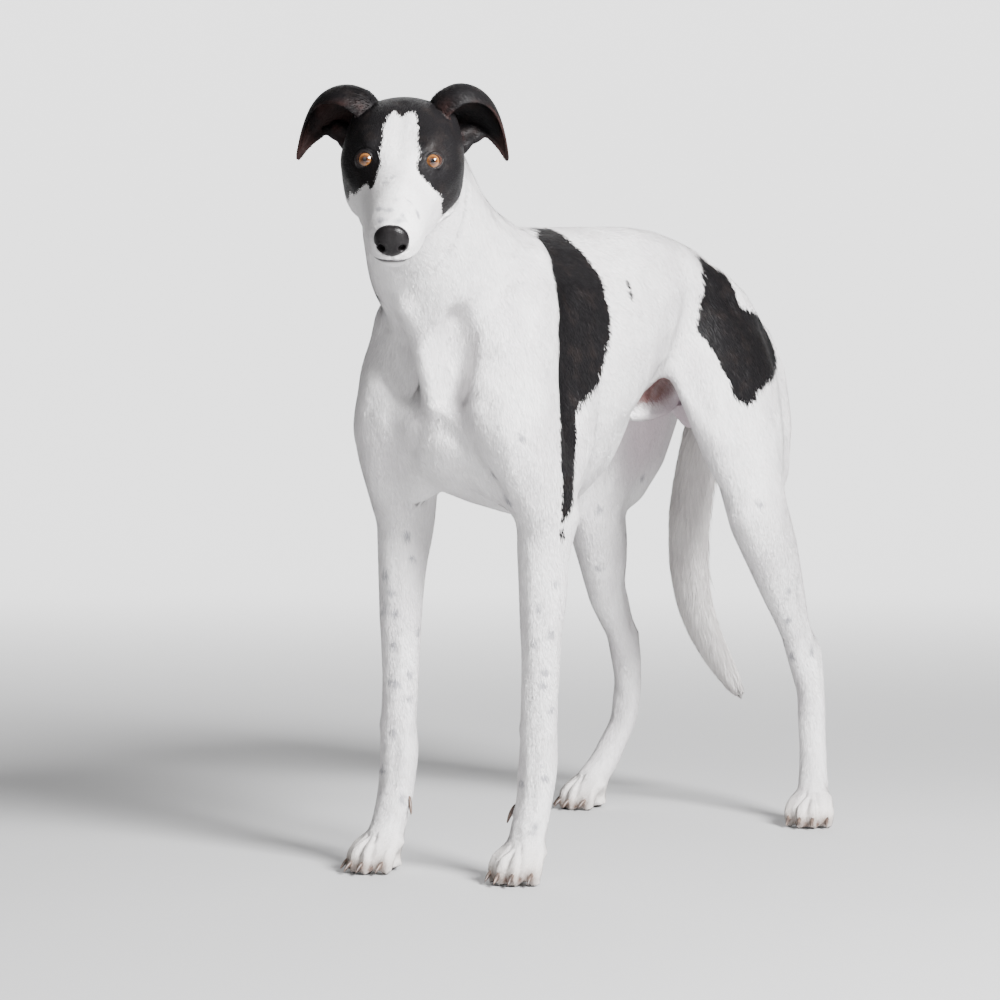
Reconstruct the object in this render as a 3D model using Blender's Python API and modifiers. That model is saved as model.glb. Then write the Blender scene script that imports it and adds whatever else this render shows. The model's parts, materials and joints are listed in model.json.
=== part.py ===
"""A standing sighthound, modelled life-size as solids that meet with thin gaps.

Frame: metres, +Z up, the dog faces -Y and its left side is +X, and its soles stand at z = 0.
Lengths along the body are first measured back from the tips of the fore toes. The whole dog is
then moved so that the origin is under the middle of its box.

The flesh is laid up as overlapping masses (lofted trunk, neck, head and limbs, with rounded
muscles), fused by a voxel remesh, smoothed, thinned, and then parted by thin cuts.
"""
import math

import bmesh
import bpy
import numpy as np
from mathutils import Matrix, Vector

# ---- driving dimensions, in metres ----------------------------------------------------------
GAP = 0.0005              # the thin cut between neighbouring pieces
VOXEL = 0.0036            # grain of the remesh that fuses the masses
FLESH_TRIANGLES = 4400    # what the fused body is thinned to
SOLE_CUT = 0.0020         # how far the rounded pads reach below the floor before the flats are cut

HEAD_AT = Vector((0.070, -0.1955, 0.7534))   # the point between the eyes
HEAD_TURN = math.radians(29.0)             # the head looks this far to the dog's left
HEAD_DROP = math.radians(24.0)             # and the muzzle points this far below level
HEAD_ROLL = math.radians(1.5)
EYE_RADIUS = 0.0115
EYE_PROUD = 0.0035        # how far the eyeball stands out of the flesh
EYE_SPACING = 0.0650
EYE_ALONG = 0.1180        # the eyes' distance from the back of the skull, along the head
EYE_RISE = 0.0305         # and their height over the head's long axis
NOSE_WIDTH, NOSE_HEIGHT = 0.0365, 0.0360
NOSE_ALONG, NOSE_RISE = 0.2350, -0.0097
MOUTH_RISE = -0.0310      # height of the mouth line over the head's long axis

SIDES = {"left": 1.0, "right": -1.0}

# ---- stations: each row is one cross-section of a loft ---------------------------------------
# Trunk: back, top, widest level, bottom, half width, roundness above, roundness below.
TRUNK = [
    (-0.042, 0.535, 0.500, 0.466, 0.028, 2.0, 2.0),
    (-0.024, 0.590, 0.512, 0.436, 0.058, 2.0, 2.0),
    (0.015, 0.652, 0.525, 0.414, 0.080, 1.9, 2.0),
    (0.060, 0.690, 0.535, 0.400, 0.090, 1.7, 2.0),
    (0.110, 0.703, 0.540, 0.389, 0.096, 1.7, 1.9),
    (0.175, 0.706, 0.545, 0.380, 0.101, 1.8, 1.9),
    (0.240, 0.708, 0.560, 0.393, 0.099, 1.9, 1.9),
    (0.305, 0.711, 0.585, 0.437, 0.090, 2.0, 1.9),
    (0.365, 0.713, 0.610, 0.492, 0.077, 2.1, 2.0),
    (0.425, 0.712, 0.622, 0.527, 0.070, 2.1, 2.0),
    (0.490, 0.703, 0.618, 0.532, 0.072, 2.0, 2.0),
    (0.550, 0.684, 0.602, 0.525, 0.072, 1.9, 2.0),
    (0.600, 0.658, 0.586, 0.525, 0.060, 1.9, 2.0),
    (0.642, 0.626, 0.576, 0.538, 0.040, 2.0, 2.0),
]
# Limbs: out from the midline, back, up, half thickness sideways, half thickness along the body.
FORELEG = [
    (0.048, 0.098, 0.672, 0.018, 0.032),
    (0.062, 0.066, 0.606, 0.035, 0.056),
    (0.073, 0.032, 0.535, 0.039, 0.064),
    (0.080, 0.028, 0.480, 0.038, 0.064),
    (0.087, 0.048, 0.430, 0.035, 0.054),
    (0.090, 0.064, 0.385, 0.030, 0.043),
    (0.090, 0.060, 0.345, 0.027, 0.034),
    (0.090, 0.056, 0.300, 0.0245, 0.029),
    (0.089, 0.052, 0.250, 0.0220, 0.0245),
    (0.088, 0.049, 0.200, 0.0205, 0.0220),
    (0.088, 0.047, 0.155, 0.0205, 0.0210),
    (0.087, 0.046, 0.125, 0.0225, 0.0225),
    (0.087, 0.043, 0.098, 0.0215, 0.0195),
    (0.087, 0.035, 0.070, 0.0215, 0.0180),
    (0.087, 0.024, 0.045, 0.0210, 0.0180),
]
HINDLEG = [
    (0.036, 0.520, 0.630, 0.036, 0.074),
    (0.056, 0.515, 0.580, 0.048, 0.092),
    (0.072, 0.515, 0.533, 0.050, 0.090),
    (0.083, 0.519, 0.500, 0.046, 0.080),
    (0.095, 0.515, 0.460, 0.041, 0.066),
    (0.106, 0.508, 0.418, 0.036, 0.053),
    (0.114, 0.512, 0.378, 0.033, 0.049),
    (0.116, 0.545, 0.330, 0.028, 0.046),
    (0.118, 0.576, 0.279, 0.0220, 0.036),
    (0.121, 0.604, 0.229, 0.0165, 0.0265),
    (0.125, 0.620, 0.193, 0.0180, 0.0270),
    (0.130, 0.620, 0.156, 0.0180, 0.0205),
    (0.138, 0.611, 0.106, 0.0175, 0.0175),
    (0.147, 0.600, 0.062, 0.0185, 0.0175),
    (0.153, 0.590, 0.040, 0.0190, 0.0175),
]
# How far each leg's middle is moved out and back at a height, for the way this dog stands.
STANCE = {
    "fore_left": [(0.05, 0.0, 0.0), (0.20, 0.001, 0.0), (0.34, -0.004, 0.0), (0.45, 0.0, 0.0)],
    "fore_right": [(0.05, 0.0, -0.004), (0.20, 0.002, 0.0), (0.34, 0.003, 0.0), (0.45, 0.0, 0.0)],
    "hind_left": [(0.05, -0.004, 0.0), (0.15, 0.0, 0.003), (0.20, -0.003, 0.0), (0.40, 0.0, 0.0)],
    "hind_right": [(0.04, 0.0, 0.0), (0.11, -0.006, 0.016), (0.19, 0.0, 0.0), (0.27, 0.005, -0.015),
                   (0.33, -0.001, -0.005), (0.45, -0.008, 0.012)],
}
NECK = [
    (0.000, 0.150, 0.590, 0.070, 0.098),
    (-0.003, 0.085, 0.610, 0.078, 0.102),
    (-0.004, 0.015, 0.642, 0.077, 0.096),
    (0.003, -0.038, 0.686, 0.067, 0.083),
    (0.016, -0.081, 0.732, 0.057, 0.069),
    (0.028, -0.115, 0.770, 0.050, 0.056),
]
TAIL = [
    (0.000, 0.580, 0.612, 0.024, 0.026),
    (-0.006, 0.632, 0.586, 0.0225, 0.0250),
    (-0.024, 0.664, 0.535, 0.0210, 0.0225),
    (-0.048, 0.678, 0.470, 0.0215, 0.0225),
    (-0.062, 0.680, 0.405, 0.0235, 0.0240),
    (-0.067, 0.676, 0.345, 0.0235, 0.0235),
    (-0.066, 0.677, 0.290, 0.0215, 0.0220),
    (-0.061, 0.688, 0.240, 0.0190, 0.0200),
    (-0.045, 0.705, 0.190, 0.0155, 0.0160),
    (-0.026, 0.727, 0.144, 0.0090, 0.0095),
    (-0.020, 0.736, 0.127, 0.0040, 0.0045),
]
# Head, in its own frame: along, top, widest level, bottom, half width, roundness above, below.
HEAD = [
    (-0.012, 0.042, 0.006, -0.030, 0.036, 2.0, 2.0),
    (0.012, 0.062, 0.014, -0.044, 0.051, 2.1, 2.0),
    (0.040, 0.071, 0.016, -0.052, 0.060, 2.2, 2.1),
    (0.070, 0.071, 0.014, -0.055, 0.063, 2.4, 2.2),
    (0.095, 0.064, 0.010, -0.055, 0.061, 2.4, 2.2),
    (0.115, 0.053, 0.003, -0.053, 0.053, 2.3, 2.2),
    (0.135, 0.041, -0.003, -0.051, 0.044, 2.2, 2.3),
    (0.160, 0.032, -0.008, -0.0480, 0.0370, 2.1, 2.3),
    (0.190, 0.026, -0.011, -0.0445, 0.0310, 2.1, 2.3),
    (0.215, 0.0195, -0.013, -0.0410, 0.0275, 2.2, 2.3),
    (0.232, 0.013, -0.015, -0.0375, 0.0225, 2.2, 2.2),
    (0.241, 0.006, -0.016, -0.0320, 0.0160, 2.0, 2.0),
]
# Left ear, in the head's frame: a trough open to the front. Left, along, up, radius, half the
# trough's sweep in degrees, half thickness of the leather.
EAR = [
    (0.036, 0.044, 0.040, 0.0240, 150, 0.0020),
    (0.047, 0.040, 0.047, 0.0290, 135, 0.0020),
    (0.059, 0.036, 0.052, 0.0305, 120, 0.0019),
    (0.071, 0.032, 0.050, 0.0270, 108, 0.0018),
    (0.081, 0.030, 0.043, 0.0220, 98, 0.0017),
    (0.0905, 0.030, 0.033, 0.0165, 90, 0.0016),
    (0.0995, 0.032, 0.021, 0.0105, 82, 0.0015),
    (0.1070, 0.035, 0.009, 0.0050, 78, 0.0014),
    (0.1125, 0.038, -0.004, 0.0020, 75, 0.0012),
]
EAR_SPREAD = {"left": 0.94, "right": 0.99}
EAR_LIFT = {"left": 0.0060, "right": 0.0020}    # how much higher each ear is carried


# ---- lofts and rounded masses -----------------------------------------------------------------
def smooth_rows(rows, steps):
    """Catmull-Rom rows between the stations, so that a few of them give a smooth loft."""
    rows = np.array(rows, float)
    padded = np.vstack([2 * rows[0] - rows[1], rows, 2 * rows[-1] - rows[-2]])
    made = []
    for a, b, c, d in zip(padded, padded[1:], padded[2:], padded[3:]):
        for t in np.arange(steps) / steps:
            made.append(
                b + 0.5 * t * ((c - a) + t * (2 * a - 5 * b + 4 * c - d + t * (3 * (b - c) + d - a)))
            )
    made.append(rows[-1])
    return np.array(made)


def ring(centre, side, up, half_side, rise, fall, power_up=2.0, power_low=2.0, corners=20):
    """A rounded outline about a centre: higher powers give squarer shoulders."""
    points = []
    for angle in np.arange(corners) * 2 * math.pi / corners:
        c, s = math.cos(angle), math.sin(angle)
        power = 2.0 / (power_up if s > 0 else power_low)
        across = math.copysign(abs(c) ** power, c) * half_side
        along = math.copysign(abs(s) ** power, s) * (rise if s > 0 else fall)
        points.append(centre + side * across + up * along)
    return points


def skin_rings(bm, rings):
    """Bridges closed rings one after the other and caps both ends with a fan."""
    loops = [[bm.verts.new(p) for p in points] for points in rings]
    for near, far in zip(loops, loops[1:]):
        for k in range(len(near)):
            m = (k + 1) % len(near)
            bm.faces.new((near[k], near[m], far[m], far[k]))
    for loop, turned in ((loops[0], True), (loops[-1], False)):
        middle = bm.verts.new(sum((v.co for v in loop), Vector()) / len(loop))
        for k in range(len(loop)):
            m = (k + 1) % len(loop)
            face = (loop[m], loop[k], middle) if turned else (loop[k], loop[m], middle)
            bm.faces.new(face)


def add_trunk(bm):
    rings = []
    for back, top, level, low, half, power_up, power_low in smooth_rows(TRUNK, 3):
        centre = Vector((0.0, back, level))
        rings.append(ring(centre, Vector((-1, 0, 0)), Vector((0, 0, 1)), half, top - level,
                          level - low, power_up, power_low, 28))
    skin_rings(bm, rings)


def add_limb(bm, stations, side=1.0, stance=None, corners=18):
    """Lofts a limb along its stations, each section square to the limb's own line."""
    rows = smooth_rows(stations, 3)
    if stance:
        heights, out, back = zip(*STANCE[stance])
        rows[:, 0] += np.interp(rows[:, 2], heights, out)
        rows[:, 1] += np.interp(rows[:, 2], heights, back)
    rows[:, 0] *= side
    heading = np.gradient(rows[:, :3], axis=0)
    rings = []
    for row, way in zip(rows, heading):
        way = Vector(way).normalized()
        across = Vector((1, 0, 0))
        across = (across - way * across.dot(way)).normalized()
        deep = way.cross(across)
        rings.append(ring(Vector(row[:3]), across, deep, row[3], row[4], row[4],
                          corners=corners))
    skin_rings(bm, rings)


def add_muscle(bm, start, end, thick, deep, side=1.0, across=(1, 0, 0), subdivisions=3):
    """A rounded mass that runs from start to end. deep is its half size square to across."""
    start, end, across = Vector(start), Vector(end), Vector(across)
    start.x *= side
    end.x *= side
    across.x *= side
    way = end - start
    long_half = way.length / 2
    way.normalize()
    across = (across - way * across.dot(way)).normalized()
    turn = Matrix((across, way.cross(across), way)).transposed().to_4x4()
    place = Matrix.Translation((start + end) / 2) @ turn
    size = Matrix.Diagonal((thick, deep, long_half, 1.0))
    bmesh.ops.create_icosphere(bm, subdivisions=subdivisions, radius=1.0, matrix=place @ size)


# ---- head frame ---------------------------------------------------------------------------------
def head_matrix():
    """Maps head coordinates (left, along towards the nose, up) to the dog's frame."""
    along = Vector((math.sin(HEAD_TURN) * math.cos(HEAD_DROP),
                    -math.cos(HEAD_TURN) * math.cos(HEAD_DROP), -math.sin(HEAD_DROP)))
    left = Vector((math.cos(HEAD_TURN), math.sin(HEAD_TURN), 0.0))
    up = left.cross(along) * -1.0
    left, up = (left * math.cos(HEAD_ROLL) - up * math.sin(HEAD_ROLL),
                up * math.cos(HEAD_ROLL) + left * math.sin(HEAD_ROLL))
    turn = Matrix((left, along, up)).transposed().to_4x4()
    return Matrix.Translation(HEAD_AT) @ turn @ Matrix.Translation((0, -EYE_ALONG, -EYE_RISE))


HEAD_FRAME = head_matrix()


def add_head(bm):
    """The skull and muzzle as one loft, with cheeks, brows, temples and lips laid on."""
    made = bmesh.new()
    rings = []
    for along, top, level, low, half, power_up, power_low in smooth_rows(HEAD, 3):
        rings.append(ring(Vector((0, along, level)), Vector((1, 0, 0)), Vector((0, 0, 1)), half,
                          top - level, level - low, power_up, power_low, 28))
    skin_rings(made, rings)
    for side in SIDES.values():
        # cheek muscle, cheek bone under the eye, brow, temple, upper lip
        add_muscle(made, (0.036, 0.020, -0.002), (0.036, 0.110, -0.028), 0.025, 0.032, side)
        add_muscle(made, (0.053, 0.026, 0.014), (0.040, 0.138, -0.002), 0.012, 0.015, side)
        add_muscle(made, (0.030, 0.084, 0.053), (0.027, 0.126, 0.041), 0.014, 0.010, side)
        add_muscle(made, (0.030, 0.000, 0.040), (0.031, 0.095, 0.048), 0.026, 0.020, side)
        add_muscle(made, (0.022, 0.150, -0.020), (0.0130, 0.236, -0.0195), 0.0120, 0.0165, side)
    # chin, the ridge of the nose and the throat
    add_muscle(made, (0, 0.186, -0.0400), (0, 0.233, -0.0365), 0.0130, 0.0105)
    add_muscle(made, (0, 0.130, 0.030), (0, 0.236, 0.008), 0.017, 0.010)
    add_muscle(made, (0, -0.030, -0.030), (0, 0.090, -0.040), 0.036, 0.024)
    bmesh.ops.transform(made, matrix=HEAD_FRAME, verts=made.verts)
    mesh = bpy.data.meshes.new("head_mass")
    made.to_mesh(mesh)
    made.free()
    bm.from_mesh(mesh)
    bpy.data.meshes.remove(mesh)


# ---- paws -----------------------------------------------------------------------------------------
class Paw:
    """A paw's place, heading and size. Points are (left, forward, up) in its own frame."""

    def __init__(self, middle, toe_out, size):
        self.side = math.copysign(1.0, middle[0])
        turn = Matrix.Rotation(self.side * math.radians(toe_out), 4, "Z")
        flip = Matrix.Diagonal((-1.0, -1.0, 1.0, 1.0))
        self.frame = Matrix.Translation((middle[0], middle[1], 0.0)) @ turn @ flip
        self.size = size

    def at(self, x, forward, up):
        return self.frame @ Vector((x * self.size, forward * self.size, up * self.size))

    def toes(self):
        """Base, knuckle and tip of each of the four toes."""
        for x, reach in ((-1.5, 0.0), (-0.5, 1.0), (0.5, 1.0), (1.5, 0.0)):
            forward = 0.013 * reach
            base = (x * 0.0110, -0.012 + forward * 0.3, 0.034)
            knuckle = (x * 0.0145, 0.008 + forward, 0.0300)
            tip = (x * 0.0165, 0.022 + forward, 0.0120)
            yield base, knuckle, tip


def add_paw(bm, paw):
    """Four arched toes, their pads and the large pad behind them."""
    size = paw.size
    across = paw.frame.to_3x3() @ Vector((1, 0, 0))
    for base, knuckle, tip in paw.toes():
        for start, end, thick in ((base, knuckle, 0.0098), (knuckle, tip, 0.0100)):
            a, b = paw.at(*start), paw.at(*end)
            reach = (b - a).normalized() * 0.009 * size
            add_muscle(bm, a - reach, b + reach, thick * size, 0.0105 * size, 1.0, across, 2)
        heel = paw.at(tip[0], tip[1] - 0.013, 0.0072)
        toe = paw.at(tip[0], tip[1] + 0.008, 0.0072)
        add_muscle(bm, heel, toe, 0.0078 * size, 0.0072 * size + SOLE_CUT, 1.0, across, 2)
    add_muscle(bm, paw.at(0, -0.028, 0.0090), paw.at(0, 0.006, 0.0090), 0.0195 * size,
               0.0090 * size + SOLE_CUT, 1.0, across, 2)
    add_muscle(bm, paw.at(0, -0.030, 0.034), paw.at(0, 0.012, 0.025), 0.0215 * size,
               0.018 * size, 1.0, across, 2)
    add_muscle(bm, paw.at(0, -0.030, 0.060), paw.at(0, 0.016, 0.034), 0.0190 * size,
               0.012 * size, 1.0, across, 2)


PAWS = {
    "forepaw_left": Paw((0.085, 0.019), 4.0, 0.98),
    "forepaw_right": Paw((-0.088, 0.008), 8.0, 0.98),
    "hindpaw_left": Paw((0.154, 0.574), 16.0, 0.93),
    "hindpaw_right": Paw((-0.155, 0.574), 20.0, 0.93),
}


# ---- muscles ----------------------------------------------------------------------------------------
# start, end, half thickness, half depth, on the left side
MUSCLES = {
    "shoulder blade": ((0.046, 0.120, 0.690), (0.074, 0.000, 0.500), 0.026, 0.040),
    "triceps": ((0.066, 0.150, 0.585), (0.092, 0.086, 0.395), 0.030, 0.046),
    "point of shoulder": ((0.056, -0.026, 0.560), (0.078, 0.012, 0.430), 0.036, 0.036),
    "neck base": ((0.036, 0.030, 0.655), (0.064, -0.012, 0.520), 0.030, 0.034),
    "breast": ((0.010, -0.020, 0.570), (0.055, 0.034, 0.398), 0.034, 0.036),
    "elbow": ((0.093, 0.102, 0.412), (0.092, 0.080, 0.352), 0.013, 0.014),
    "forearm": ((0.094, 0.066, 0.400), (0.090, 0.046, 0.215), 0.024, 0.024),
    "haunch": ((0.034, 0.440, 0.668), (0.070, 0.608, 0.555), 0.036, 0.052),
    "ham": ((0.056, 0.614, 0.610), (0.101, 0.554, 0.370), 0.038, 0.052),
    "thigh front": ((0.056, 0.440, 0.620), (0.110, 0.474, 0.385), 0.030, 0.040),
    "stifle fold": ((0.048, 0.398, 0.590), (0.098, 0.464, 0.430), 0.018, 0.028),
    "knee cap": ((0.110, 0.470, 0.410), (0.114, 0.480, 0.350), 0.019, 0.018),
    "heel": ((0.124, 0.638, 0.226), (0.128, 0.638, 0.168), 0.0120, 0.0120),
    "ribs": ((0.060, 0.060, 0.560), (0.050, 0.340, 0.570), 0.042, 0.095),
    "loin": ((0.022, 0.250, 0.684), (0.026, 0.500, 0.674), 0.034, 0.032),
}


def add_muscles(bm):
    for start, end, thick, deep in MUSCLES.values():
        for side in SIDES.values():
            add_muscle(bm, start, end, thick, deep, side)
    # the front of the chest, sheath and scrotum lie on the midline
    add_muscle(bm, (0, -0.046, 0.610), (0, 0.030, 0.420), 0.044, 0.036)
    add_muscle(bm, (0, 0.380, 0.506), (0, 0.545, 0.524), 0.0165, 0.0175)
    add_muscle(bm, (0, 0.538, 0.530), (0, 0.564, 0.468), 0.0225, 0.0180)


# ---- fusing --------------------------------------------------------------------------------------
def add_object(name, bm, collection=None):
    """Turns a bmesh into an object with outward faces."""
    bm.normal_update()
    bmesh.ops.recalc_face_normals(bm, faces=bm.faces)
    mesh = bpy.data.meshes.new(name)
    bm.to_mesh(mesh)
    bm.free()
    obj = bpy.data.objects.new(name, mesh)
    (collection or bpy.context.scene.collection).objects.link(obj)
    return obj


def applied(obj):
    """The same object with its modifiers applied."""
    graph = bpy.context.evaluated_depsgraph_get()
    mesh = bpy.data.meshes.new_from_object(obj.evaluated_get(graph))
    obj.modifiers.clear()
    obj.data = mesh
    return obj


def ramp(value, low, high):
    """0 below low, 1 above high, and a straight climb between."""
    return np.clip((value - low) / (high - low), 0.0, 1.0)


def relax(mesh, rounds=40):
    """Evens the surface: strongly over the trunk, lightly on the limbs, least on face and feet."""
    count = len(mesh.vertices)
    points = np.empty(count * 3)
    mesh.vertices.foreach_get("co", points)
    points = points.reshape(-1, 3)
    edges = np.empty(len(mesh.edges) * 2, dtype=np.int64)
    mesh.edges.foreach_get("vertices", edges)
    near, far = edges[0::2], edges[1::2]
    degree = np.bincount(near, minlength=count) + np.bincount(far, minlength=count)
    in_head = (points - np.array(HEAD_FRAME.translation)) @ np.array(HEAD_FRAME.to_3x3())
    face = ramp(in_head[:, 1], -0.06, 0.02) * ramp(points[:, 2], 0.60, 0.66)
    trunk = ramp(points[:, 2], 0.34, 0.46) * ramp(-points[:, 1], -0.675, -0.640)
    limb = 0.08 + 0.20 * ramp(points[:, 2], 0.035, 0.060)
    weight = np.maximum(limb, trunk) * (1 - face) + 0.10 * face
    weight = 0.5 * weight[:, None]
    for _ in range(rounds):
        total = np.empty_like(points)
        for k in range(3):
            total[:, k] = (np.bincount(near, points[far, k], count)
                           + np.bincount(far, points[near, k], count))
        points += weight * (total / degree[:, None] - points)
    mesh.vertices.foreach_set("co", points.ravel())
    mesh.update()


def keep_largest(mesh):
    """Drops any closed pocket that the masses leave between them."""
    bm = bmesh.new()
    bm.from_mesh(mesh)
    left = set(bm.verts)
    shells = []
    while left:
        front = [left.pop()]
        shell = list(front)
        while front:
            for edge in front.pop().link_edges:
                for vertex in edge.verts:
                    if vertex in left:
                        left.remove(vertex)
                        front.append(vertex)
                        shell.append(vertex)
        shells.append(shell)
    shells.sort(key=len)
    for shell in shells[:-1]:
        bmesh.ops.delete(bm, geom=shell, context="VERTS")
    bm.to_mesh(mesh)
    bm.free()


def fuse_flesh():
    """The whole body but its ears, eyes, nose and claws, standing on flat soles at z = 0."""
    bm = bmesh.new()
    add_trunk(bm)
    add_limb(bm, NECK, corners=24)
    add_limb(bm, TAIL)
    add_head(bm)
    for name, side in SIDES.items():
        add_limb(bm, FORELEG, side, "fore_" + name)
        add_limb(bm, HINDLEG, side, "hind_" + name)
    add_muscles(bm)
    for paw in PAWS.values():
        add_paw(bm, paw)
    flesh = add_object("flesh", bm)
    remesh = flesh.modifiers.new("fuse", "REMESH")
    remesh.mode = "VOXEL"
    remesh.voxel_size = VOXEL
    relax(applied(flesh).data)
    keep_largest(flesh.data)
    to_head = HEAD_FRAME.inverted()
    keep = flesh.vertex_groups.new(name="coarse")
    for vertex in flesh.data.vertices:
        face = (to_head @ vertex.co).y > 0.02 and vertex.co.z > 0.64
        tail = vertex.co.y > 0.67
        paw = vertex.co.z < 0.07
        keep.add([vertex.index], 0.95 if face or paw else 0.97 if tail else 1.0, "REPLACE")
    triangles = flesh.modifiers.new("triangles", "TRIANGULATE")
    triangles.quad_method = "SHORTEST_DIAGONAL"
    thin = flesh.modifiers.new("thin", "DECIMATE")
    thin.vertex_group = "coarse"
    thin.vertex_group_factor = 1.0
    thin.ratio = FLESH_TRIANGLES / (2.0 * len(flesh.data.polygons))
    applied(flesh)
    bm = bmesh.new()
    bm.from_mesh(flesh.data)
    geometry = bm.verts[:] + bm.edges[:] + bm.faces[:]
    cut = bmesh.ops.bisect_plane(bm, geom=geometry, plane_co=(0, 0, 0), plane_no=(0, 0, -1),
                                 clear_outer=True)
    edges = [e for e in cut["geom_cut"] if isinstance(e, bmesh.types.BMEdge)]
    bmesh.ops.holes_fill(bm, edges=edges)
    bmesh.ops.triangulate(bm, faces=bm.faces)
    bm.to_mesh(flesh.data)
    bm.free()
    return flesh


# ---- small parts -----------------------------------------------------------------------------------
def grown(mesh, amount):
    """A copy of the mesh with every point moved out along its normal."""
    bm = bmesh.new()
    bm.from_mesh(mesh)
    bm.normal_update()
    moves = [(v, v.normal.copy()) for v in bm.verts]
    for vertex, normal in moves:
        vertex.co += normal * amount
    return bm


def ear(name, side):
    """A leather trough: outer wall out, round the rim and back along the inner wall."""
    bm = bmesh.new()
    rows = smooth_rows(EAR, 1)
    spread = EAR_SPREAD[name]
    rings = []
    heading = np.gradient(rows[:, :3], axis=0)
    for (left, along, up, radius, sweep, leather), way in zip(rows, heading):
        up += EAR_LIFT[name] * ramp(left, EAR[0][0], EAR[2][0])
        way = Vector(way).normalized()
        behind = Vector((0.10, -0.86, 0.50))
        behind = (behind - way * behind.dot(way)).normalized()
        above = way.cross(behind)
        if above.z < 0:
            above.negate()
        centre = Vector((left, along, up))
        angles = np.radians(np.linspace(-sweep, sweep, 7))
        wall = []
        for reach, order in ((radius + leather, angles), (radius - leather, angles[::-1])):
            for angle in order:
                wall.append(centre + (behind * math.cos(angle) + above * math.sin(angle))
                            * max(reach, 0.0004))
        rings.append([HEAD_FRAME @ Vector((p.x * side * spread, p.y, p.z)) for p in wall])
    loops = [[bm.verts.new(p) for p in points] for points in rings]
    for near, far in zip(loops, loops[1:]):
        for k in range(len(near)):
            m = (k + 1) % len(near)
            bm.faces.new((near[k], near[m], far[m], far[k]))
    for loop in (loops[0], loops[-1]):
        half = len(loop) // 2
        for k in range(half - 1):
            bm.faces.new((loop[k], loop[k + 1], loop[-2 - k], loop[-1 - k]))
    bmesh.ops.triangulate(bm, faces=bm.faces)
    return add_object("ear_" + name, bm, PARTS)


def eye(name, side, flesh):
    """A whole eyeball, set so that its front stands a little proud of the face."""
    gaze = HEAD_FRAME.to_3x3() @ Vector((side * 0.12, 0.91, 0.40)).normalized()
    aim = HEAD_FRAME @ Vector((side * EYE_SPACING / 2, EYE_ALONG, EYE_RISE))
    hit, place, _, _ = flesh.ray_cast(aim + gaze * 0.2, -gaze)
    centre = place - gaze * (EYE_RADIUS - EYE_PROUD)
    bm = bmesh.new()
    turn = gaze.to_track_quat("Z", "Y").to_matrix().to_4x4()
    bmesh.ops.create_uvsphere(bm, u_segments=12, v_segments=7, radius=EYE_RADIUS,
                              matrix=Matrix.Translation(centre) @ turn)
    return add_object("eye_" + name, bm, PARTS)


def nose():
    """The leather of the nose, a rounded wedge set into the end of the muzzle."""
    bm = bmesh.new()
    bmesh.ops.create_uvsphere(bm, u_segments=14, v_segments=8, radius=1.0)
    for vertex in bm.verts:
        x, y, z = vertex.co
        vertex.co = HEAD_FRAME @ Vector((
            NOSE_WIDTH / 2 * x * (1.0 + 0.10 * z),
            NOSE_ALONG + 0.0120 * y + 0.0035 * z * abs(z),
            NOSE_RISE + NOSE_HEIGHT / 2 * z))
    return add_object("nose", bm, PARTS)


def claw(name, base, tip, radius):
    """A curved horn that tapers from base to tip."""
    bm = bmesh.new()
    way = tip - base
    level = way.cross(Vector((0, 0, 1))).normalized()
    arch = level.cross(way).normalized()
    rings = []
    for t in (0.0, 0.5, 1.0):
        centre = base + way * t + arch * (0.18 * way.length * t * (1 - t) * 2)
        thick = radius * (1.0 - 0.72 * t ** 1.5)
        rings.append(ring(centre, level, arch, thick * 0.85, thick, thick, corners=6))
    skin_rings(bm, rings)
    return add_object(name, bm, PARTS)


def claws():
    """Four claws on each paw, and a dewclaw high on the inner side of each foreleg."""
    made = []
    for paw_name, paw in PAWS.items():
        for number, (_, _, tip) in enumerate(paw.toes(), 1):
            base = paw.at(tip[0], tip[1] + 0.0005, 0.0150)
            point = paw.at(tip[0] * 1.04, tip[1] + 0.0165, 0.0042)
            made.append(claw("claw_%s_%d" % (paw_name, number), base, point, 0.0034))
    for name, side in SIDES.items():
        base = Vector((side * 0.0690, 0.0340, 0.0800))
        point = Vector((side * 0.0610, 0.0270, 0.0600))
        made.append(claw("dewclaw_" + name, base, point, 0.0036))
    return made


# ---- parting the body ---------------------------------------------------------------------------------
def frame_along(origin, normal, across=(1, 0, 0)):
    """A frame at origin whose Z is the normal and whose X is as near across as can be."""
    normal = Vector(normal).normalized()
    across = Vector(across)
    across = (across - normal * across.dot(normal)).normalized()
    turn = Matrix((across, normal.cross(across), normal)).transposed().to_4x4()
    return Matrix.Translation(origin) @ turn


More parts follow.
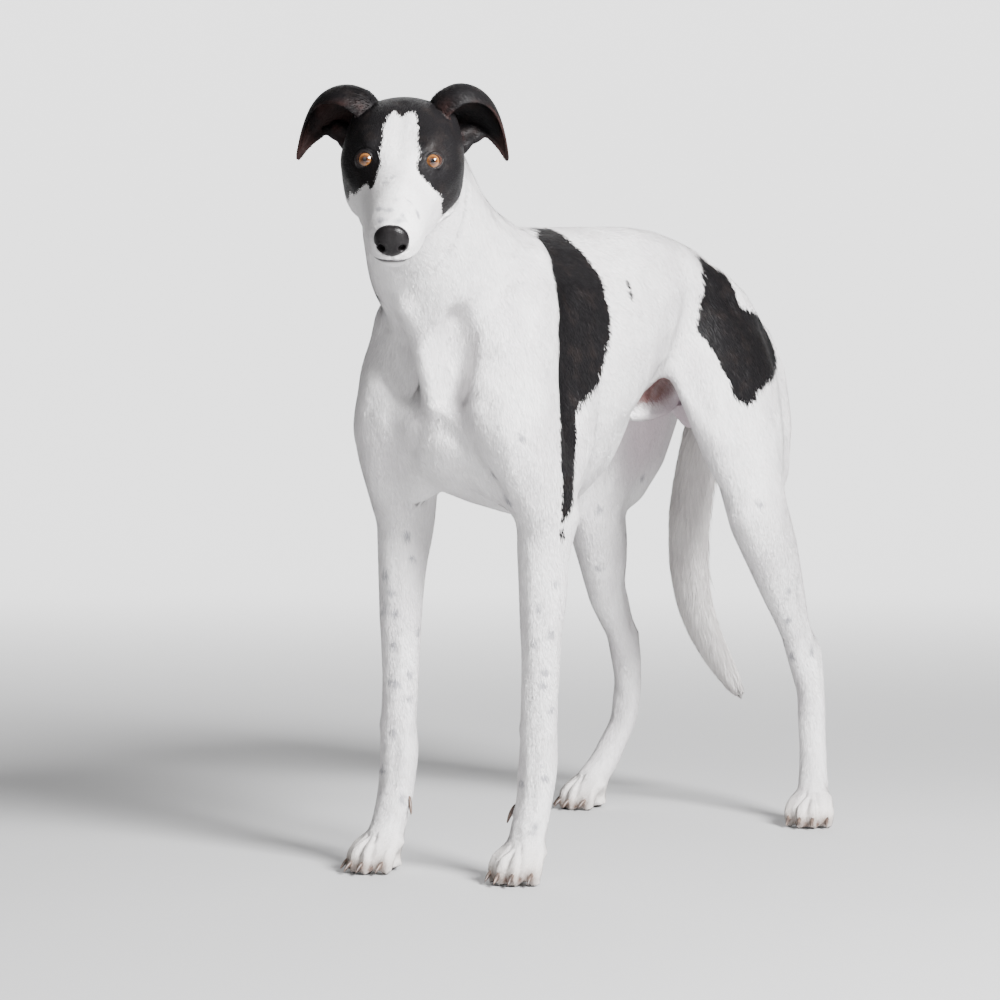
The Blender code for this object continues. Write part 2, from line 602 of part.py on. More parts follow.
def regions():
    """The box that holds each piece, in cutting order: name, frame, low corner, high corner."""
    level = Matrix.Identity(4)
    yield "tail", level, (-0.098, 0.6475, 0.08), (0.050, 0.800, 0.640)
    for name, paw in PAWS.items():
        top = 0.064 if name.startswith("fore") else 0.056
        middle = paw.frame.translation
        yield (name, Matrix.Translation(middle), (-0.055, -0.075, -0.010), (0.055, 0.075, top))
    poll = HEAD_FRAME @ Vector((0.0, 0.018, -0.010))
    facing = HEAD_FRAME.to_3x3() @ Vector((0.0, 0.900, 0.436))
    left = HEAD_FRAME.to_3x3() @ Vector((1.0, 0.0, 0.0))
    yield ("head", frame_along(poll, facing, left), (-0.13, -0.13, 0.0), (0.13, 0.13, 0.30))
    collar = frame_along((0.0, 0.0, 0.630), (0.0, -0.786, 0.618))
    yield "neck", collar, (-0.15, -0.14, 0.0), (0.15, 0.14, 0.25)
    for name, side in SIDES.items():
        inner, outer = sorted((side * 0.054, side * 0.200))
        yield ("foreleg_" + name, level, (inner, -0.090, 0.0), (outer, 0.162, 0.642))
    for name, side in SIDES.items():
        hip = frame_along((side * 0.040, 0.55, 0.565), (side * 1.0, 0.0, 0.095), (0, 1, 0))
        yield ("hindleg_" + name, hip, (-0.160, -0.55, 0.0), (0.150, 0.55, 0.20))


def box(name, frame, low, high, grow=0.0):
    bm = bmesh.new()
    low = Vector(low) - Vector((grow, grow, grow))
    high = Vector(high) + Vector((grow, grow, grow))
    size = Matrix.Diagonal((*(high - low), 1.0))
    place = frame @ Matrix.Translation((low + high) / 2) @ size
    bmesh.ops.create_cube(bm, size=1.0, matrix=place)
    cutter = add_object(name, bm, CUTTERS)
    cutter.hide_render = True
    cutter.display_type = "WIRE"
    return cutter


def carve(obj, cutter, operation):
    """An exact Boolean, applied."""
    modifier = obj.modifiers.new("cut", "BOOLEAN")
    modifier.operation = operation
    modifier.solver = "EXACT"
    modifier.use_self = True
    modifier.object = cutter
    return applied(obj)


def part_off(body, name, frame, low, high):
    """Takes the piece inside the box off the body, with a gap left between the two."""
    piece = bpy.data.objects.new(name, body.data.copy())
    PARTS.objects.link(piece)
    carve(piece, box("cut_" + name, frame, low, high), "INTERSECT")
    carve(body, box("clear_" + name, frame, low, high, GAP), "DIFFERENCE")
    return piece


def sockets(flesh, inserts):
    """Makes room in the flesh for the parts that are set into it."""
    bm = bmesh.new()
    for insert in inserts:
        fat = grown(insert.data, GAP)
        mesh = bpy.data.meshes.new("socket")
        fat.to_mesh(mesh)
        fat.free()
        bm.from_mesh(mesh)
        bpy.data.meshes.remove(mesh)
    cutter = add_object("sockets", bm, CUTTERS)
    cutter.hide_render = True
    cutter.display_type = "WIRE"
    carve(flesh, cutter, "DIFFERENCE")


# ---- materials ---------------------------------------------------------------------------------------
SURFACES = {
    "nose": ((0.020, 0.018, 0.019), 0.30),
    "eye": ((0.330, 0.150, 0.045), 0.08),
    "claw": ((0.200, 0.160, 0.130), 0.40),
    "dewclaw": ((0.200, 0.160, 0.130), 0.40),
    "ear": ((0.020, 0.018, 0.020), 0.60),
    "coat": ((0.820, 0.800, 0.790), 0.70),
}


def surface(obj):
    kind = obj.name.split("_")[0]
    colour, roughness = SURFACES.get(kind, SURFACES["coat"])
    material = bpy.data.materials.new(obj.name)
    material.use_nodes = True
    shader = material.node_tree.nodes["Principled BSDF"]
    shader.inputs["Base Color"].default_value = (*colour, 1.0)
    shader.inputs["Roughness"].default_value = roughness
    obj.data.materials.clear()
    obj.data.materials.append(material)


def centre(objects):
    """Moves everything so that the origin lies under the middle of the whole box."""
    corners = [v.co for obj in objects for v in obj.data.vertices]
    low = [min(c[k] for c in corners) for k in range(2)]
    high = [max(c[k] for c in corners) for k in range(2)]
    move = Vector((-(low[0] + high[0]) / 2, -(low[1] + high[1]) / 2, 0.0))
    for obj in list(objects) + list(CUTTERS.objects):
        obj.data.transform(Matrix.Translation(move))
    return move


# ---- build -------------------------------------------------------------------------------------------
for old in list(bpy.data.objects):
    bpy.data.objects.remove(old)
PARTS = bpy.data.collections.new("sighthound")
CUTTERS = bpy.data.collections.new("cutters")
bpy.context.scene.collection.children.link(PARTS)
bpy.context.scene.collection.children.link(CUTTERS)

body = fuse_flesh()
inserts = [ear(name, side) for name, side in SIDES.items()]
inserts += [eye(name, side, body) for name, side in SIDES.items()]
inserts.append(nose())
horn = claws()
for region in regions():
    part_off(body, *region)
bpy.context.scene.collection.objects.unlink(body)
PARTS.objects.link(body)
body.name = "trunk"
sockets(PARTS.objects["head"], inserts)
part_off(PARTS.objects["head"], "lower_jaw", HEAD_FRAME, (-0.06, 0.082, -0.15),
         (0.06, 0.300, MOUTH_RISE))
for paw_name in PAWS:
    sockets(PARTS.objects[paw_name], [c for c in horn if c.name.startswith("claw_" + paw_name)])
for name in SIDES:
    sockets(PARTS.objects["foreleg_" + name], [bpy.data.objects["dewclaw_" + name]])
MOVED = centre(PARTS.objects)
for obj in PARTS.objects:
    surface(obj)
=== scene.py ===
# %% [markdown]
# # A standing sighthound
#
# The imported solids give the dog's size, stance and outline. This script dresses them: one smooth
# skin over all the flesh, a short coat laid on it hair tuft by hair tuft, and separate eyes, nose
# leather and claws. Every length is in metres, the dog faces -Y and its own left side is +X.

# %% Load the frame
import json
import math

import bmesh
import bpy
import numpy as np
from mathutils import Matrix, Vector
from mathutils.bvhtree import BVHTree

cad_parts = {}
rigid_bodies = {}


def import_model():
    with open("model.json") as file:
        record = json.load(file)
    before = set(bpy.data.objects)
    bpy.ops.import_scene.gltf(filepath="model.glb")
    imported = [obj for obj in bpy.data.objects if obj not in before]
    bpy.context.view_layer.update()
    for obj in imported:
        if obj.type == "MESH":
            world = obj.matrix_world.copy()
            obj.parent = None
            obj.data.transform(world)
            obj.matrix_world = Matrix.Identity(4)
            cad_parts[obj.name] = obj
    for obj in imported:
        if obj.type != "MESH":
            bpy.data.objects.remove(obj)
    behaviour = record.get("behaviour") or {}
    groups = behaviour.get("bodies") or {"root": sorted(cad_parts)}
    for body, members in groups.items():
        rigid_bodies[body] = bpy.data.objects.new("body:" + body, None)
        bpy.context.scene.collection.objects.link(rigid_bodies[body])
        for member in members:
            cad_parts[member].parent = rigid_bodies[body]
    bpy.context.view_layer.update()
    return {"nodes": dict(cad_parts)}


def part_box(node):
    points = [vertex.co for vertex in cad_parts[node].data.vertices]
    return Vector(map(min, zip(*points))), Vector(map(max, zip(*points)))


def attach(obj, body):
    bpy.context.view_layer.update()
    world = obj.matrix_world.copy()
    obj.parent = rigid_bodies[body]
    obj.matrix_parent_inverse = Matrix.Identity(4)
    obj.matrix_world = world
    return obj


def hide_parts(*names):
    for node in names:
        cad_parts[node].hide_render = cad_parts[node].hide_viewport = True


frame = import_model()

NODES = frame["nodes"]
for obj in bpy.data.objects:
    obj.select_set(False)

# %% [markdown]
# ## The head's own axes
#
# A face is easier to model straight ahead than turned and tipped. The eyes and the nose leather
# say where the head points, so its axes come from them: left, along (towards the nose) and up,
# with the back of the skull at along = 0.

# %% Head axes
EYE_OUT, EYE_ALONG, EYE_RISE = 0.0327, 0.1192, 0.0310   # the eyes' place in the head's own axes
NOSE_BELOW_EYES = math.atan2(0.0405, 0.1163)   # how far the line from eyes to nose slopes down


def middle(node):
    low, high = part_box(node)
    return (low + high) / 2


def head_matrix():
    """Maps head coordinates (left, along, up) to the dog's frame."""
    eyes = (middle("eye_left") + middle("eye_right")) / 2
    left = (middle("eye_left") - middle("eye_right")).normalized()
    to_nose = middle("nose") - eyes
    to_nose = (to_nose - left * to_nose.dot(left)).normalized()
    square = left.cross(to_nose) * -1.0
    along = to_nose * math.cos(NOSE_BELOW_EYES) + square * math.sin(NOSE_BELOW_EYES)
    up = left.cross(along) * -1.0
    turn = Matrix((left, along, up)).transposed().to_4x4()
    return Matrix.Translation(eyes) @ turn @ Matrix.Translation((0, -EYE_ALONG, -EYE_RISE))


HEAD = head_matrix()
HEAD_INVERSE = HEAD.inverted()
print("nose tip at", [round(c, 3) for c in HEAD @ Vector((0, 0.247, -0.005))])

# %% [markdown]
# ## Camera
#
# A level camera a little above half the dog's height, well back and with a long lens, keeps the
# legs upright and the body undistorted. A shift of the lens frames the feet.

# %% Camera
CAMERA_FROM_NOSE = Vector((1.7344, -2.6279, -0.1361))
CAMERA_TURN = math.radians(31.5)
camera_data = bpy.data.cameras.new("camera")
camera_data.lens = 115.8
camera_data.sensor_width = 36.0
camera_data.shift_y = -0.12
camera = bpy.data.objects.new("camera", camera_data)
bpy.context.scene.collection.objects.link(camera)
camera.location = middle("nose") + CAMERA_FROM_NOSE
camera.rotation_euler = (math.radians(90.0), 0.0, CAMERA_TURN)
bpy.context.scene.camera = camera
print("camera at", [round(c, 3) for c in camera.location])

# %% [markdown]
# ## Mesh helpers
#
# The skin has hundreds of thousands of points, so it is shaped with arrays: read all points, move
# them together, write them back.


# %% Mesh helpers
def points_of(obj):
    co = np.empty(len(obj.data.vertices) * 3, np.float32)
    obj.data.vertices.foreach_get("co", co)
    return co.reshape(-1, 3).astype(np.float64)


def set_points(obj, co):
    obj.data.vertices.foreach_set("co", co.astype(np.float32).ravel())
    obj.data.update()


def normals_of(obj):
    out = np.empty(len(obj.data.vertices) * 3, np.float32)
    obj.data.vertex_normals.foreach_get("vector", out)
    return out.reshape(-1, 3).astype(np.float64)


def through(matrix, co):
    m = np.array(matrix)
    return co @ m[:3, :3].T + m[:3, 3]


def link(name, bm):
    mesh = bpy.data.meshes.new(name)
    bm.to_mesh(mesh)
    bm.free()
    obj = bpy.data.objects.new(name, mesh)
    bpy.context.scene.collection.objects.link(obj)
    return obj


def applied(obj, kind, **settings):
    """Adds a modifier, sets it and applies it."""
    modifier = obj.modifiers.new(kind.title(), kind)
    for key, value in settings.items():
        setattr(modifier, key, value)
    bpy.context.view_layer.objects.active = obj
    obj.select_set(True)
    bpy.ops.object.modifier_apply(modifier=modifier.name)
    obj.select_set(False)


class Neighbours:
    """Each point's neighbours along the edges, laid out so that their mean is quick to take."""

    def __init__(self, obj):
        pairs = np.empty(len(obj.data.edges) * 2, np.int32)
        obj.data.edges.foreach_get("vertices", pairs)
        pairs = pairs.reshape(-1, 2)
        here = np.concatenate([pairs[:, 0], pairs[:, 1]])
        there = np.concatenate([pairs[:, 1], pairs[:, 0]])
        order = np.argsort(here, kind="stable")
        self.there = there[order]
        self.start = np.searchsorted(here[order], np.arange(len(obj.data.vertices)))
        self.count = np.bincount(here, minlength=len(obj.data.vertices))

    def mean(self, values):
        total = np.add.reduceat(values[self.there], self.start, axis=0)
        return (total.T / self.count).T


def relax(obj, rounds, weight=0.5):
    """Pulls each point to its neighbours' mean, then pushes it off a little more, which smooths
    the surface and keeps its volume. weight is a number or one per point."""
    near = Neighbours(obj)
    co = points_of(obj)
    pull = weight if np.isscalar(weight) else weight[:, None]
    for _ in range(rounds):
        co += (near.mean(co) - co) * pull
        co -= (near.mean(co) - co) * pull * 1.05
    set_points(obj, co)


def ramp(value, low, high):
    """0 below low, 1 above high, smooth between."""
    t = np.clip((value - low) / (high - low), 0.0, 1.0)
    return t * t * (3 - 2 * t)


# %% [markdown]
# ## One skin over the flesh
#
# The solids are parted by thin cuts and have flat facets. Copies of them are swollen a little so
# that they overlap, and a voxel remesh fuses them. The body is first fused coarsely and relaxed
# until no facet shows. Then everything is fused once more at a fine grain. A face and toes need
# more points than a flank, so space is stretched round them before the remesh and let back after
# it, which makes the grain finer there.

# %% Flesh
PAWS = [f"{paw}_{side}" for paw in ("forepaw", "hindpaw") for side in ("left", "right")]
BODY = ["trunk", "neck", "tail"]
BODY += [f"{leg}_{side}" for leg in ("foreleg", "hindleg") for side in ("left", "right")]
FACE = ["head", "lower_jaw", "ear_left", "ear_right"]
OVERLAP = 0.0006                # how far the copies swell, to close the cuts
LID = 0.0011                    # the closed lids' thickness over the eyeballs
BODY_GRAIN, FINE_GRAIN = 0.0040, 0.0030
BODY_ROUNDS, SKIN_ROUNDS = 60, 18   # how often each is relaxed
SKIN_TRIANGLES = 165000


def fused_copy(name, parts):
    """One object from copies of solids, each swollen by its own amount."""
    bm = bmesh.new()
    for node, swell in parts:
        part = bmesh.new()
        part.from_mesh(NODES[node].data if isinstance(node, str) else node.data)
        bmesh.ops.remove_doubles(part, verts=part.verts, dist=1e-6)
        part.normal_update()
        for v in part.verts:
            v.co += v.normal * swell
        mesh = bpy.data.meshes.new("part")
        part.to_mesh(mesh)
        part.free()
        bm.from_mesh(mesh)
        bpy.data.meshes.remove(mesh)
    return link(name, bm)


class Stretch:
    """Space stretched about a centre inside one radius, and packed closer out to a second one."""

    def __init__(self, centre, reach, scale, rim):
        self.centre, self.reach, self.scale, self.rim = np.array(centre), reach, scale, rim

    def moved(self, co, before, after):
        away = co - self.centre
        r = np.linalg.norm(away, axis=1) + 1e-9
        new = np.interp(r, before, after)
        return np.where((r < before[-1])[:, None], self.centre + away * (new / r)[:, None], co)

    def out(self, co):
        return self.moved(co, (0, self.reach, self.rim), (0, self.reach * self.scale, self.rim))

    def back(self, co):
        return self.moved(co, (0, self.reach * self.scale, self.rim), (0, self.reach, self.rim))


def rounded(name, nodes, swell, levels):
    """Flat-sided solids copied as one mesh and rounded off by subdivision."""
    piece = fused_copy(name, [(node, swell) for node in nodes])
    bpy.context.view_layer.objects.active = piece
    piece.select_set(True)
    bpy.ops.object.mode_set(mode="EDIT")
    bpy.ops.mesh.select_all(action="SELECT")
    bpy.ops.mesh.tris_convert_to_quads(face_threshold=math.radians(60), shape_threshold=math.pi)
    bpy.ops.object.mode_set(mode="OBJECT")
    piece.select_set(False)
    applied(piece, "SUBSURF", levels=levels, render_levels=levels)
    return piece


core = fused_copy("core", [(n, OVERLAP) for n in BODY + PAWS])
applied(core, "REMESH", mode="VOXEL", voxel_size=BODY_GRAIN)
relax(core, BODY_ROUNDS)
print("body fused coarsely,", len(core.data.vertices), "points")

# %% [markdown]
# ## The fine skin
#
# The head and the ears are rounded off by subdivision before they join the body, and a few pads of
# flesh are added: the fold under each ear and the sheath. The claws and the nose leather are
# fused in a little shrunk, so that the skin closes behind them.

# %% Fine remesh
STRETCHES = [Stretch(HEAD @ Vector((0, 0.10, 0.01)), 0.155, 1.9, 0.50)]
STRETCHES += [Stretch(middle(p), 0.050, 1.5, 0.11) for p in PAWS]

ears = [rounded(ear, [ear], 0.0003, 3) for ear in ("ear_left", "ear_right")]
skull = [rounded(bone, [bone], OVERLAP * 1.5, 2) for bone in ("head", "lower_jaw")]


def pad(name, start, end, radius, axes):
    """A soft pad of flesh between two places in the given axes."""
    bpy.ops.mesh.primitive_uv_sphere_add(segments=24, ring_count=16, radius=1.0)
    piece = bpy.context.object
    piece.name = name
    piece.select_set(False)
    start, end = Vector(start), Vector(end)
    turn = (end - start).to_track_quat("Z", "Y").to_matrix().to_4x4()
    size = Matrix.Diagonal((radius, radius, (end - start).length / 2 + radius, 1.0))
    piece.data.transform(axes @ Matrix.Translation((start + end) / 2) @ turn @ size)
    if axes.determinant() < 0:
        piece.data.flip_normals()
    return piece


# the lower rim of each ear runs on as a fold of skin to the cheek
for side in (1, -1):
    rim = [(side * 0.054, 0.038, 0.010), (side * 0.066, 0.028, 0.021), (side * 0.079, 0.022, 0.027)]
    ears.append(pad("ear_fold", rim[0], rim[1], 0.0070, HEAD))
    ears.append(pad("ear_fold", rim[1], rim[2], 0.0060, HEAD))
    bowl = [(side * 0.057, 0.030, 0.026), (side * 0.069, 0.021, 0.031)]
    ears.append(pad("ear_bowl", bowl[0], bowl[1], 0.0080, HEAD))
sheath = pad("sheath", (0.002, 0.186, 0.492), (0.000, 0.290, 0.506), 0.0130, Matrix.Identity(4))
parts = [(n, OVERLAP) for n in PAWS]
parts += [("eye_left", LID), ("eye_right", LID), ("nose", -OVERLAP)]
parts += [(n, -OVERLAP) for n in NODES if "claw" in n]
parts += [(piece, 0.0) for piece in [core, sheath] + skull + ears]
skin = fused_copy("skin", parts)
for piece in [core, sheath] + skull + ears:
    bpy.data.objects.remove(piece)
co = points_of(skin)
for stretch in STRETCHES:
    co = stretch.out(co)
set_points(skin, co)
applied(skin, "REMESH", mode="VOXEL", voxel_size=FINE_GRAIN)
co = points_of(skin)
for stretch in reversed(STRETCHES):
    co = stretch.back(co)
set_points(skin, co)
print("skin fused finely,", len(skin.data.vertices), "points")

# %% [markdown]
# ## Which part of the dog is this?
#
# Hair length, coat depth and how much a spot may be smoothed all depend on the part of the body.
# Each point of the skin therefore looks up the solid that it lies nearest to.

# %% Parts of the body
FLESH = BODY + FACE + PAWS


def nearest_solid():
    """A search tree over the flesh solids, and the solid that each of its triangles is from."""
    corners, faces, owner = [], [], []
    for index, node in enumerate(FLESH):
        mesh = NODES[node].data
        first = len(corners)
        corners.extend(v.co for v in mesh.vertices)
        for polygon in mesh.polygons:
            faces.append([first + k for k in polygon.vertices])
            owner.append(index)
    return BVHTree.FromPolygons(corners, faces), np.array(owner)


SOLID_TREE, SOLID_OF_FACE = nearest_solid()


def parts_of(co):
    found = np.array([SOLID_TREE.find_nearest(p)[2] for p in co])
    return SOLID_OF_FACE[found]


def by_part(values, fallback, part):
    """A value per point: looked up by the start of the nearest solid's name."""
    table = []
    for node in FLESH:
        match = [v for key, v in values.items() if node.startswith(key)]
        table.append(match[0] if match else fallback)
    return np.array(table, float)[part]


part = parts_of(points_of(skin))
near = Neighbours(skin)
keep = by_part({"ear": 0.50, "head": 0.35, "lower_jaw": 0.35, "forepaw": 0.15, "hindpaw": 0.15},
               0.5, part)
for _ in range(6):
    keep = near.mean(keep)
relax(skin, SKIN_ROUNDS, keep)

COAT_DEPTH = {"ear": 0.0004, "head": 0.0008, "lower_jaw": 0.0008, "neck": 0.0016, "trunk": 0.0018,
              "tail": 0.0026, "fore": 0.0012, "hindpaw": 0.0008, "hindleg": 0.0014}
depth = by_part(COAT_DEPTH, 0.001, part)
for _ in range(12):
    depth = near.mean(depth)
co = points_of(skin) - normals_of(skin) * depth[:, None]
set_points(skin, co)
print("skin laid under the coat by", [round(1000 * d, 2) for d in (depth.min(), depth.max())], "mm")

# %% [markdown]
# ## Modelling the muscles
#
# A sighthound is lean, so its muscles, tendons and hollows show through the coat. They are worked
# in as a sculptor does: a stroke follows a short path over the skin and presses it in, or raises
# it where its depth is negative, with a soft edge.


# %% Strokes
def distance_to_path(co, path):
    """Each point's distance to a line through a few points."""
    path = np.array([tuple(p) for p in path], float)
    best = np.full(len(co), 1e9)
    if len(path) == 1:
        return np.linalg.norm(co - path[0], axis=1)
    for a, b in zip(path, path[1:]):
        way = b - a
        t = np.clip(((co - a) @ way) / (way @ way), 0.0, 1.0)
        best = np.minimum(best, np.linalg.norm(co - (a + t[:, None] * way), axis=1))
    return best


def stroke(co, normals, path, width, depth):
    """Presses the skin in by depth along a path, fading over the width."""
    near_path = np.exp(-(distance_to_path(co, path) / width) ** 2)
    co -= normals * (depth * near_path)[:, None]


def both(path):
    """A path and its mirror image on the other side of the body."""
    return [path, [(-x, y, z) for x, y, z in path]]


# Path, width and depth of each stroke. These lie in the middle of the chest or on one side of it.
CHEST_STROKES = [
    ([(-0.040, -0.274, 0.602), (-0.032, -0.270, 0.565), (-0.022, -0.266, 0.528)], 0.017, 0.0190),
    ([(-0.060, -0.255, 0.585), (-0.048, -0.262, 0.545)], 0.022, 0.0080),
    ([(-0.085, -0.215, 0.605)], 0.024, -0.0060),
    ([(0.045, -0.266, 0.595), (0.040, -0.262, 0.555), (0.036, -0.258, 0.520)], 0.015, 0.0160),
    ([(0.004, -0.306, 0.612), (0.009, -0.282, 0.560), (0.014, -0.268, 0.512)], 0.012, -0.0085),
    ([(0.016, -0.264, 0.499)], 0.012, -0.0045),
    ([(0.020, -0.266, 0.488), (0.047, -0.248, 0.459), (0.068, -0.226, 0.415)], 0.008, 0.0035),
    ([(0.012, -0.266, 0.503), (0.040, -0.258, 0.514)], 0.004, 0.0016),
    ([(-0.004, -0.262, 0.480), (-0.030, -0.252, 0.450), (-0.052, -0.232, 0.415)], 0.009, 0.0030),
]
# These are the same on both sides.
SIDE_STROKES = [
    ([(0.090, -0.252, 0.480)], 0.022, -0.0030),
    ([(0.096, -0.140, 0.585), (0.104, -0.150, 0.535), (0.116, -0.160, 0.440)], 0.014, 0.0040),
    ([(0.118, -0.142, 0.388)], 0.014, -0.0045),
    ([(0.086, -0.205, 0.610), (0.100, -0.215, 0.540)], 0.020, -0.0020),
    ([(0.086, 0.192, 0.500), (0.068, 0.180, 0.560), (0.058, 0.200, 0.620)], 0.022, 0.0060),
    ([(0.056, 0.228, 0.680)], 0.020, -0.0030),
    ([(0.075, 0.275, 0.635), (0.104, 0.292, 0.560), (0.120, 0.300, 0.490)], 0.014, 0.0030),
    ([(0.095, 0.345, 0.590), (0.112, 0.350, 0.520), (0.110, 0.345, 0.450)], 0.014, 0.0022),
    ([(0.112, 0.222, 0.455)], 0.020, -0.0030),
    ([(0.141, 0.352, 0.290), (0.142, 0.380, 0.235)], 0.008, 0.0035),
    ([(0.098, 0.352, 0.290), (0.104, 0.380, 0.235)], 0.008, 0.0035),
    ([(0.020, -0.060, 0.712), (0.020, 0.200, 0.720)], 0.012, -0.0012),
    # the tucked-up belly in front of the groin
    ([(0.058, 0.010, 0.478), (0.056, 0.075, 0.500), (0.050, 0.130, 0.520)], 0.026, 0.0120),
    ([(0.012, 0.020, 0.462), (0.012, 0.100, 0.488)], 0.026, 0.0080),
    # forearm muscle and the grooves beside it, wrist bones and the pad behind the wrist
    ([(0.098, -0.172, 0.360), (0.102, -0.176, 0.270)], 0.010, -0.0016),
    ([(0.084, -0.190, 0.350), (0.084, -0.190, 0.220)], 0.005, 0.0012),
    ([(0.108, -0.165, 0.330), (0.104, -0.168, 0.190)], 0.005, 0.0012),
    ([(0.070, -0.186, 0.160)], 0.008, -0.0026),
    ([(0.104, -0.184, 0.156)], 0.008, -0.0022),
    ([(0.088, -0.156, 0.148)], 0.008, -0.0040),
    ([(0.080, -0.196, 0.135), (0.080, -0.200, 0.075)], 0.004, 0.0010),
    ([(0.096, -0.196, 0.135), (0.096, -0.200, 0.075)], 0.004, 0.0010),
]
RIB_PLACES = (-0.055, -0.025, 0.006, 0.038, 0.070, 0.100)

co, normals = points_of(skin), normals_of(skin)
for path, width, press in CHEST_STROKES:
    stroke(co, normals, path, width, press)
for path, width, press in SIDE_STROKES:
    for sided in both(path):
        stroke(co, normals, sided, width, press)
for back in RIB_PLACES:
    rib = [(0.085, back, 0.640), (0.101, back + 0.012, 0.575), (0.085, back + 0.020, 0.500)]
    for sided in both(rib):
        stroke(co, normals, sided, 0.0070, 0.0006)
print(len(CHEST_STROKES) + 2 * len(SIDE_STROKES) + 2 * len(RIB_PLACES), "strokes on the body")

# %% [markdown]
# ## Toes
#
# The claws show where the toes end. A groove runs back and up between each two of them, and a thin
# tendon runs from each toe over the top of the foot.

# %% Toes
for paw in PAWS:
    tips = [middle(f"claw_{paw}_{k}") for k in (1, 2, 3, 4)]
    heel = middle(paw)
    for a, b in zip(tips, tips[1:]):
        front = (a + b) / 2
        back = front.lerp(heel, 0.62)
        path = [(front.x, front.y, 0.004), (front.x, front.y, 0.018),
                (back.x, back.y, 0.041)]
        stroke(co, normals, path, 0.0030, 0.0034)
    for tip in tips:
        back = tip.lerp(heel, 0.85)
        stroke(co, normals, [(tip.x, tip.y, 0.036), (back.x, back.y, 0.062)], 0.0040, -0.0010)
set_points(skin, co)
print("toes parted on", len(PAWS), "paws")

# %% [markdown]
# ## Thinning the skin
#
# A smooth flank needs few faces and a face or a toe needs many. The Decimate modifier takes points
# away where the surface is flattest, so nothing worked in so far is lost.

# %% Thin the skin
applied(skin, "TRIANGULATE")
applied(skin, "DECIMATE", ratio=SKIN_TRIANGLES / len(skin.data.polygons))
print("skin thinned to", len(skin.data.polygons), "triangles")

# %% [markdown]
# ## The face
#
# Eyelids, lips and the folds round them are finer than the skin's grain, so the skin is divided
# again round the eyes and along the mouth before they are shaped. The eyes are still covered by
# the skin, as if shut. Each is opened by pressing the skin inside an almond outline back behind
# the eyeball, which leaves lids of a real thickness lying on the ball.


# %% Divide the skin round the eyes and mouth
def divide(obj, chosen):
    """Cuts every edge between chosen points in two."""
    mesh = obj.data
    bpy.context.view_layer.objects.active = obj
    obj.select_set(True)
    bpy.ops.object.mode_set(mode="EDIT")
    bpy.ops.mesh.select_mode(type="VERT")
    bpy.ops.mesh.select_all(action="DESELECT")
    bpy.ops.object.mode_set(mode="OBJECT")
    mesh.vertices.foreach_set("select", chosen)
    bpy.ops.object.mode_set(mode="EDIT")
    bpy.ops.mesh.subdivide(number_cuts=1, smoothness=0.0)
    bpy.ops.object.mode_set(mode="OBJECT")
    obj.select_set(False)


EYE_RADIUS = 0.0115
MOUTH_RISE, MOUTH_CORNER = -0.0310, 0.132    # the lips' height, and where they end


def eye_distance(h):
    return np.minimum(*(np.linalg.norm(h - (side * EYE_OUT, EYE_ALONG, EYE_RISE), axis=1)
                        for side in (1, -1)))


for reach in (0.024, 0.0175):
    h = through(HEAD_INVERSE, points_of(skin))
    lips = (np.abs(h[:, 2] - MOUTH_RISE) < reach * 0.45) & (h[:, 1] > 0.115)
    lips &= (np.abs(h[:, 0]) < 0.05) & (h[:, 1] < 0.26)
    divide(skin, (eye_distance(h) < reach) | (lips & (reach > 0.02)))
print("skin divided to", len(skin.data.polygons), "faces")

# %% [markdown]
# ## Folds and bones of the face
#
# These strokes are given in the head's own axes, so a path reads as left, along and up. Each is
# mirrored, apart from those that run along the middle.


# %% Folds of the face
HEAD_STROKES = [
    # the furrow up the forehead, and the bone over each eye
    ([(0.000, 0.060, 0.074), (0.000, 0.105, 0.062), (0.000, 0.135, 0.044)], 0.007, 0.0016),
    ([(0.024, 0.104, 0.053), (0.034, 0.098, 0.050)], 0.008, -0.0016),
    # the hollow in front of the eye, and the groove below the cheek bone
    ([(0.022, 0.140, 0.022), (0.025, 0.158, 0.010)], 0.010, 0.0022),
    ([(0.046, 0.120, -0.004), (0.035, 0.160, -0.012)], 0.009, 0.0012),
    # the cheek bone, the temple and the muscle of the cheek
    ([(0.056, 0.080, 0.018), (0.047, 0.120, 0.008)], 0.008, -0.0014),
    ([(0.050, 0.070, 0.045)], 0.014, 0.0018),
    ([(0.060, 0.060, -0.012)], 0.018, -0.0016),
    # the bag under the eye
    ([(0.031, 0.140, 0.019), (0.041, 0.128, 0.013), (0.049, 0.110, 0.013)], 0.0022, 0.0008),
    # ridges inside the ear
    ([(0.046, 0.052, 0.036), (0.074, 0.042, 0.044), (0.096, 0.036, 0.018)], 0.0032, -0.0014),
    ([(0.050, 0.056, 0.052), (0.076, 0.048, 0.054), (0.094, 0.040, 0.034)], 0.0026, -0.0010),
    # the whisker pad and the groove over the lip
    ([(0.020, 0.215, -0.018)], 0.012, -0.0012),
    ([(0.027, 0.225, -0.016), (0.031, 0.180, -0.020)], 0.004, 0.0006),
]


def in_head_axes(obj):
    """An object's points and outward directions in the head's axes."""
    turn = np.array(HEAD_INVERSE)[:3, :3]
    return through(HEAD_INVERSE, points_of(obj)), normals_of(obj) @ turn.T


h, out = in_head_axes(skin)
for path, width, press in HEAD_STROKES:
    for sided in (both(path) if path[0][0] else [path]):
        stroke(h, out, sided, width, press)
set_points(skin, through(HEAD, h))
print(len(HEAD_STROKES), "folds and bones of the face")

# %% [markdown]
# ## The mouth
#
# The closed lips meet in a thin crease that dips a little towards the corners. The lips stand up on
# both sides of it, and a narrow groove runs down to it from the nose.

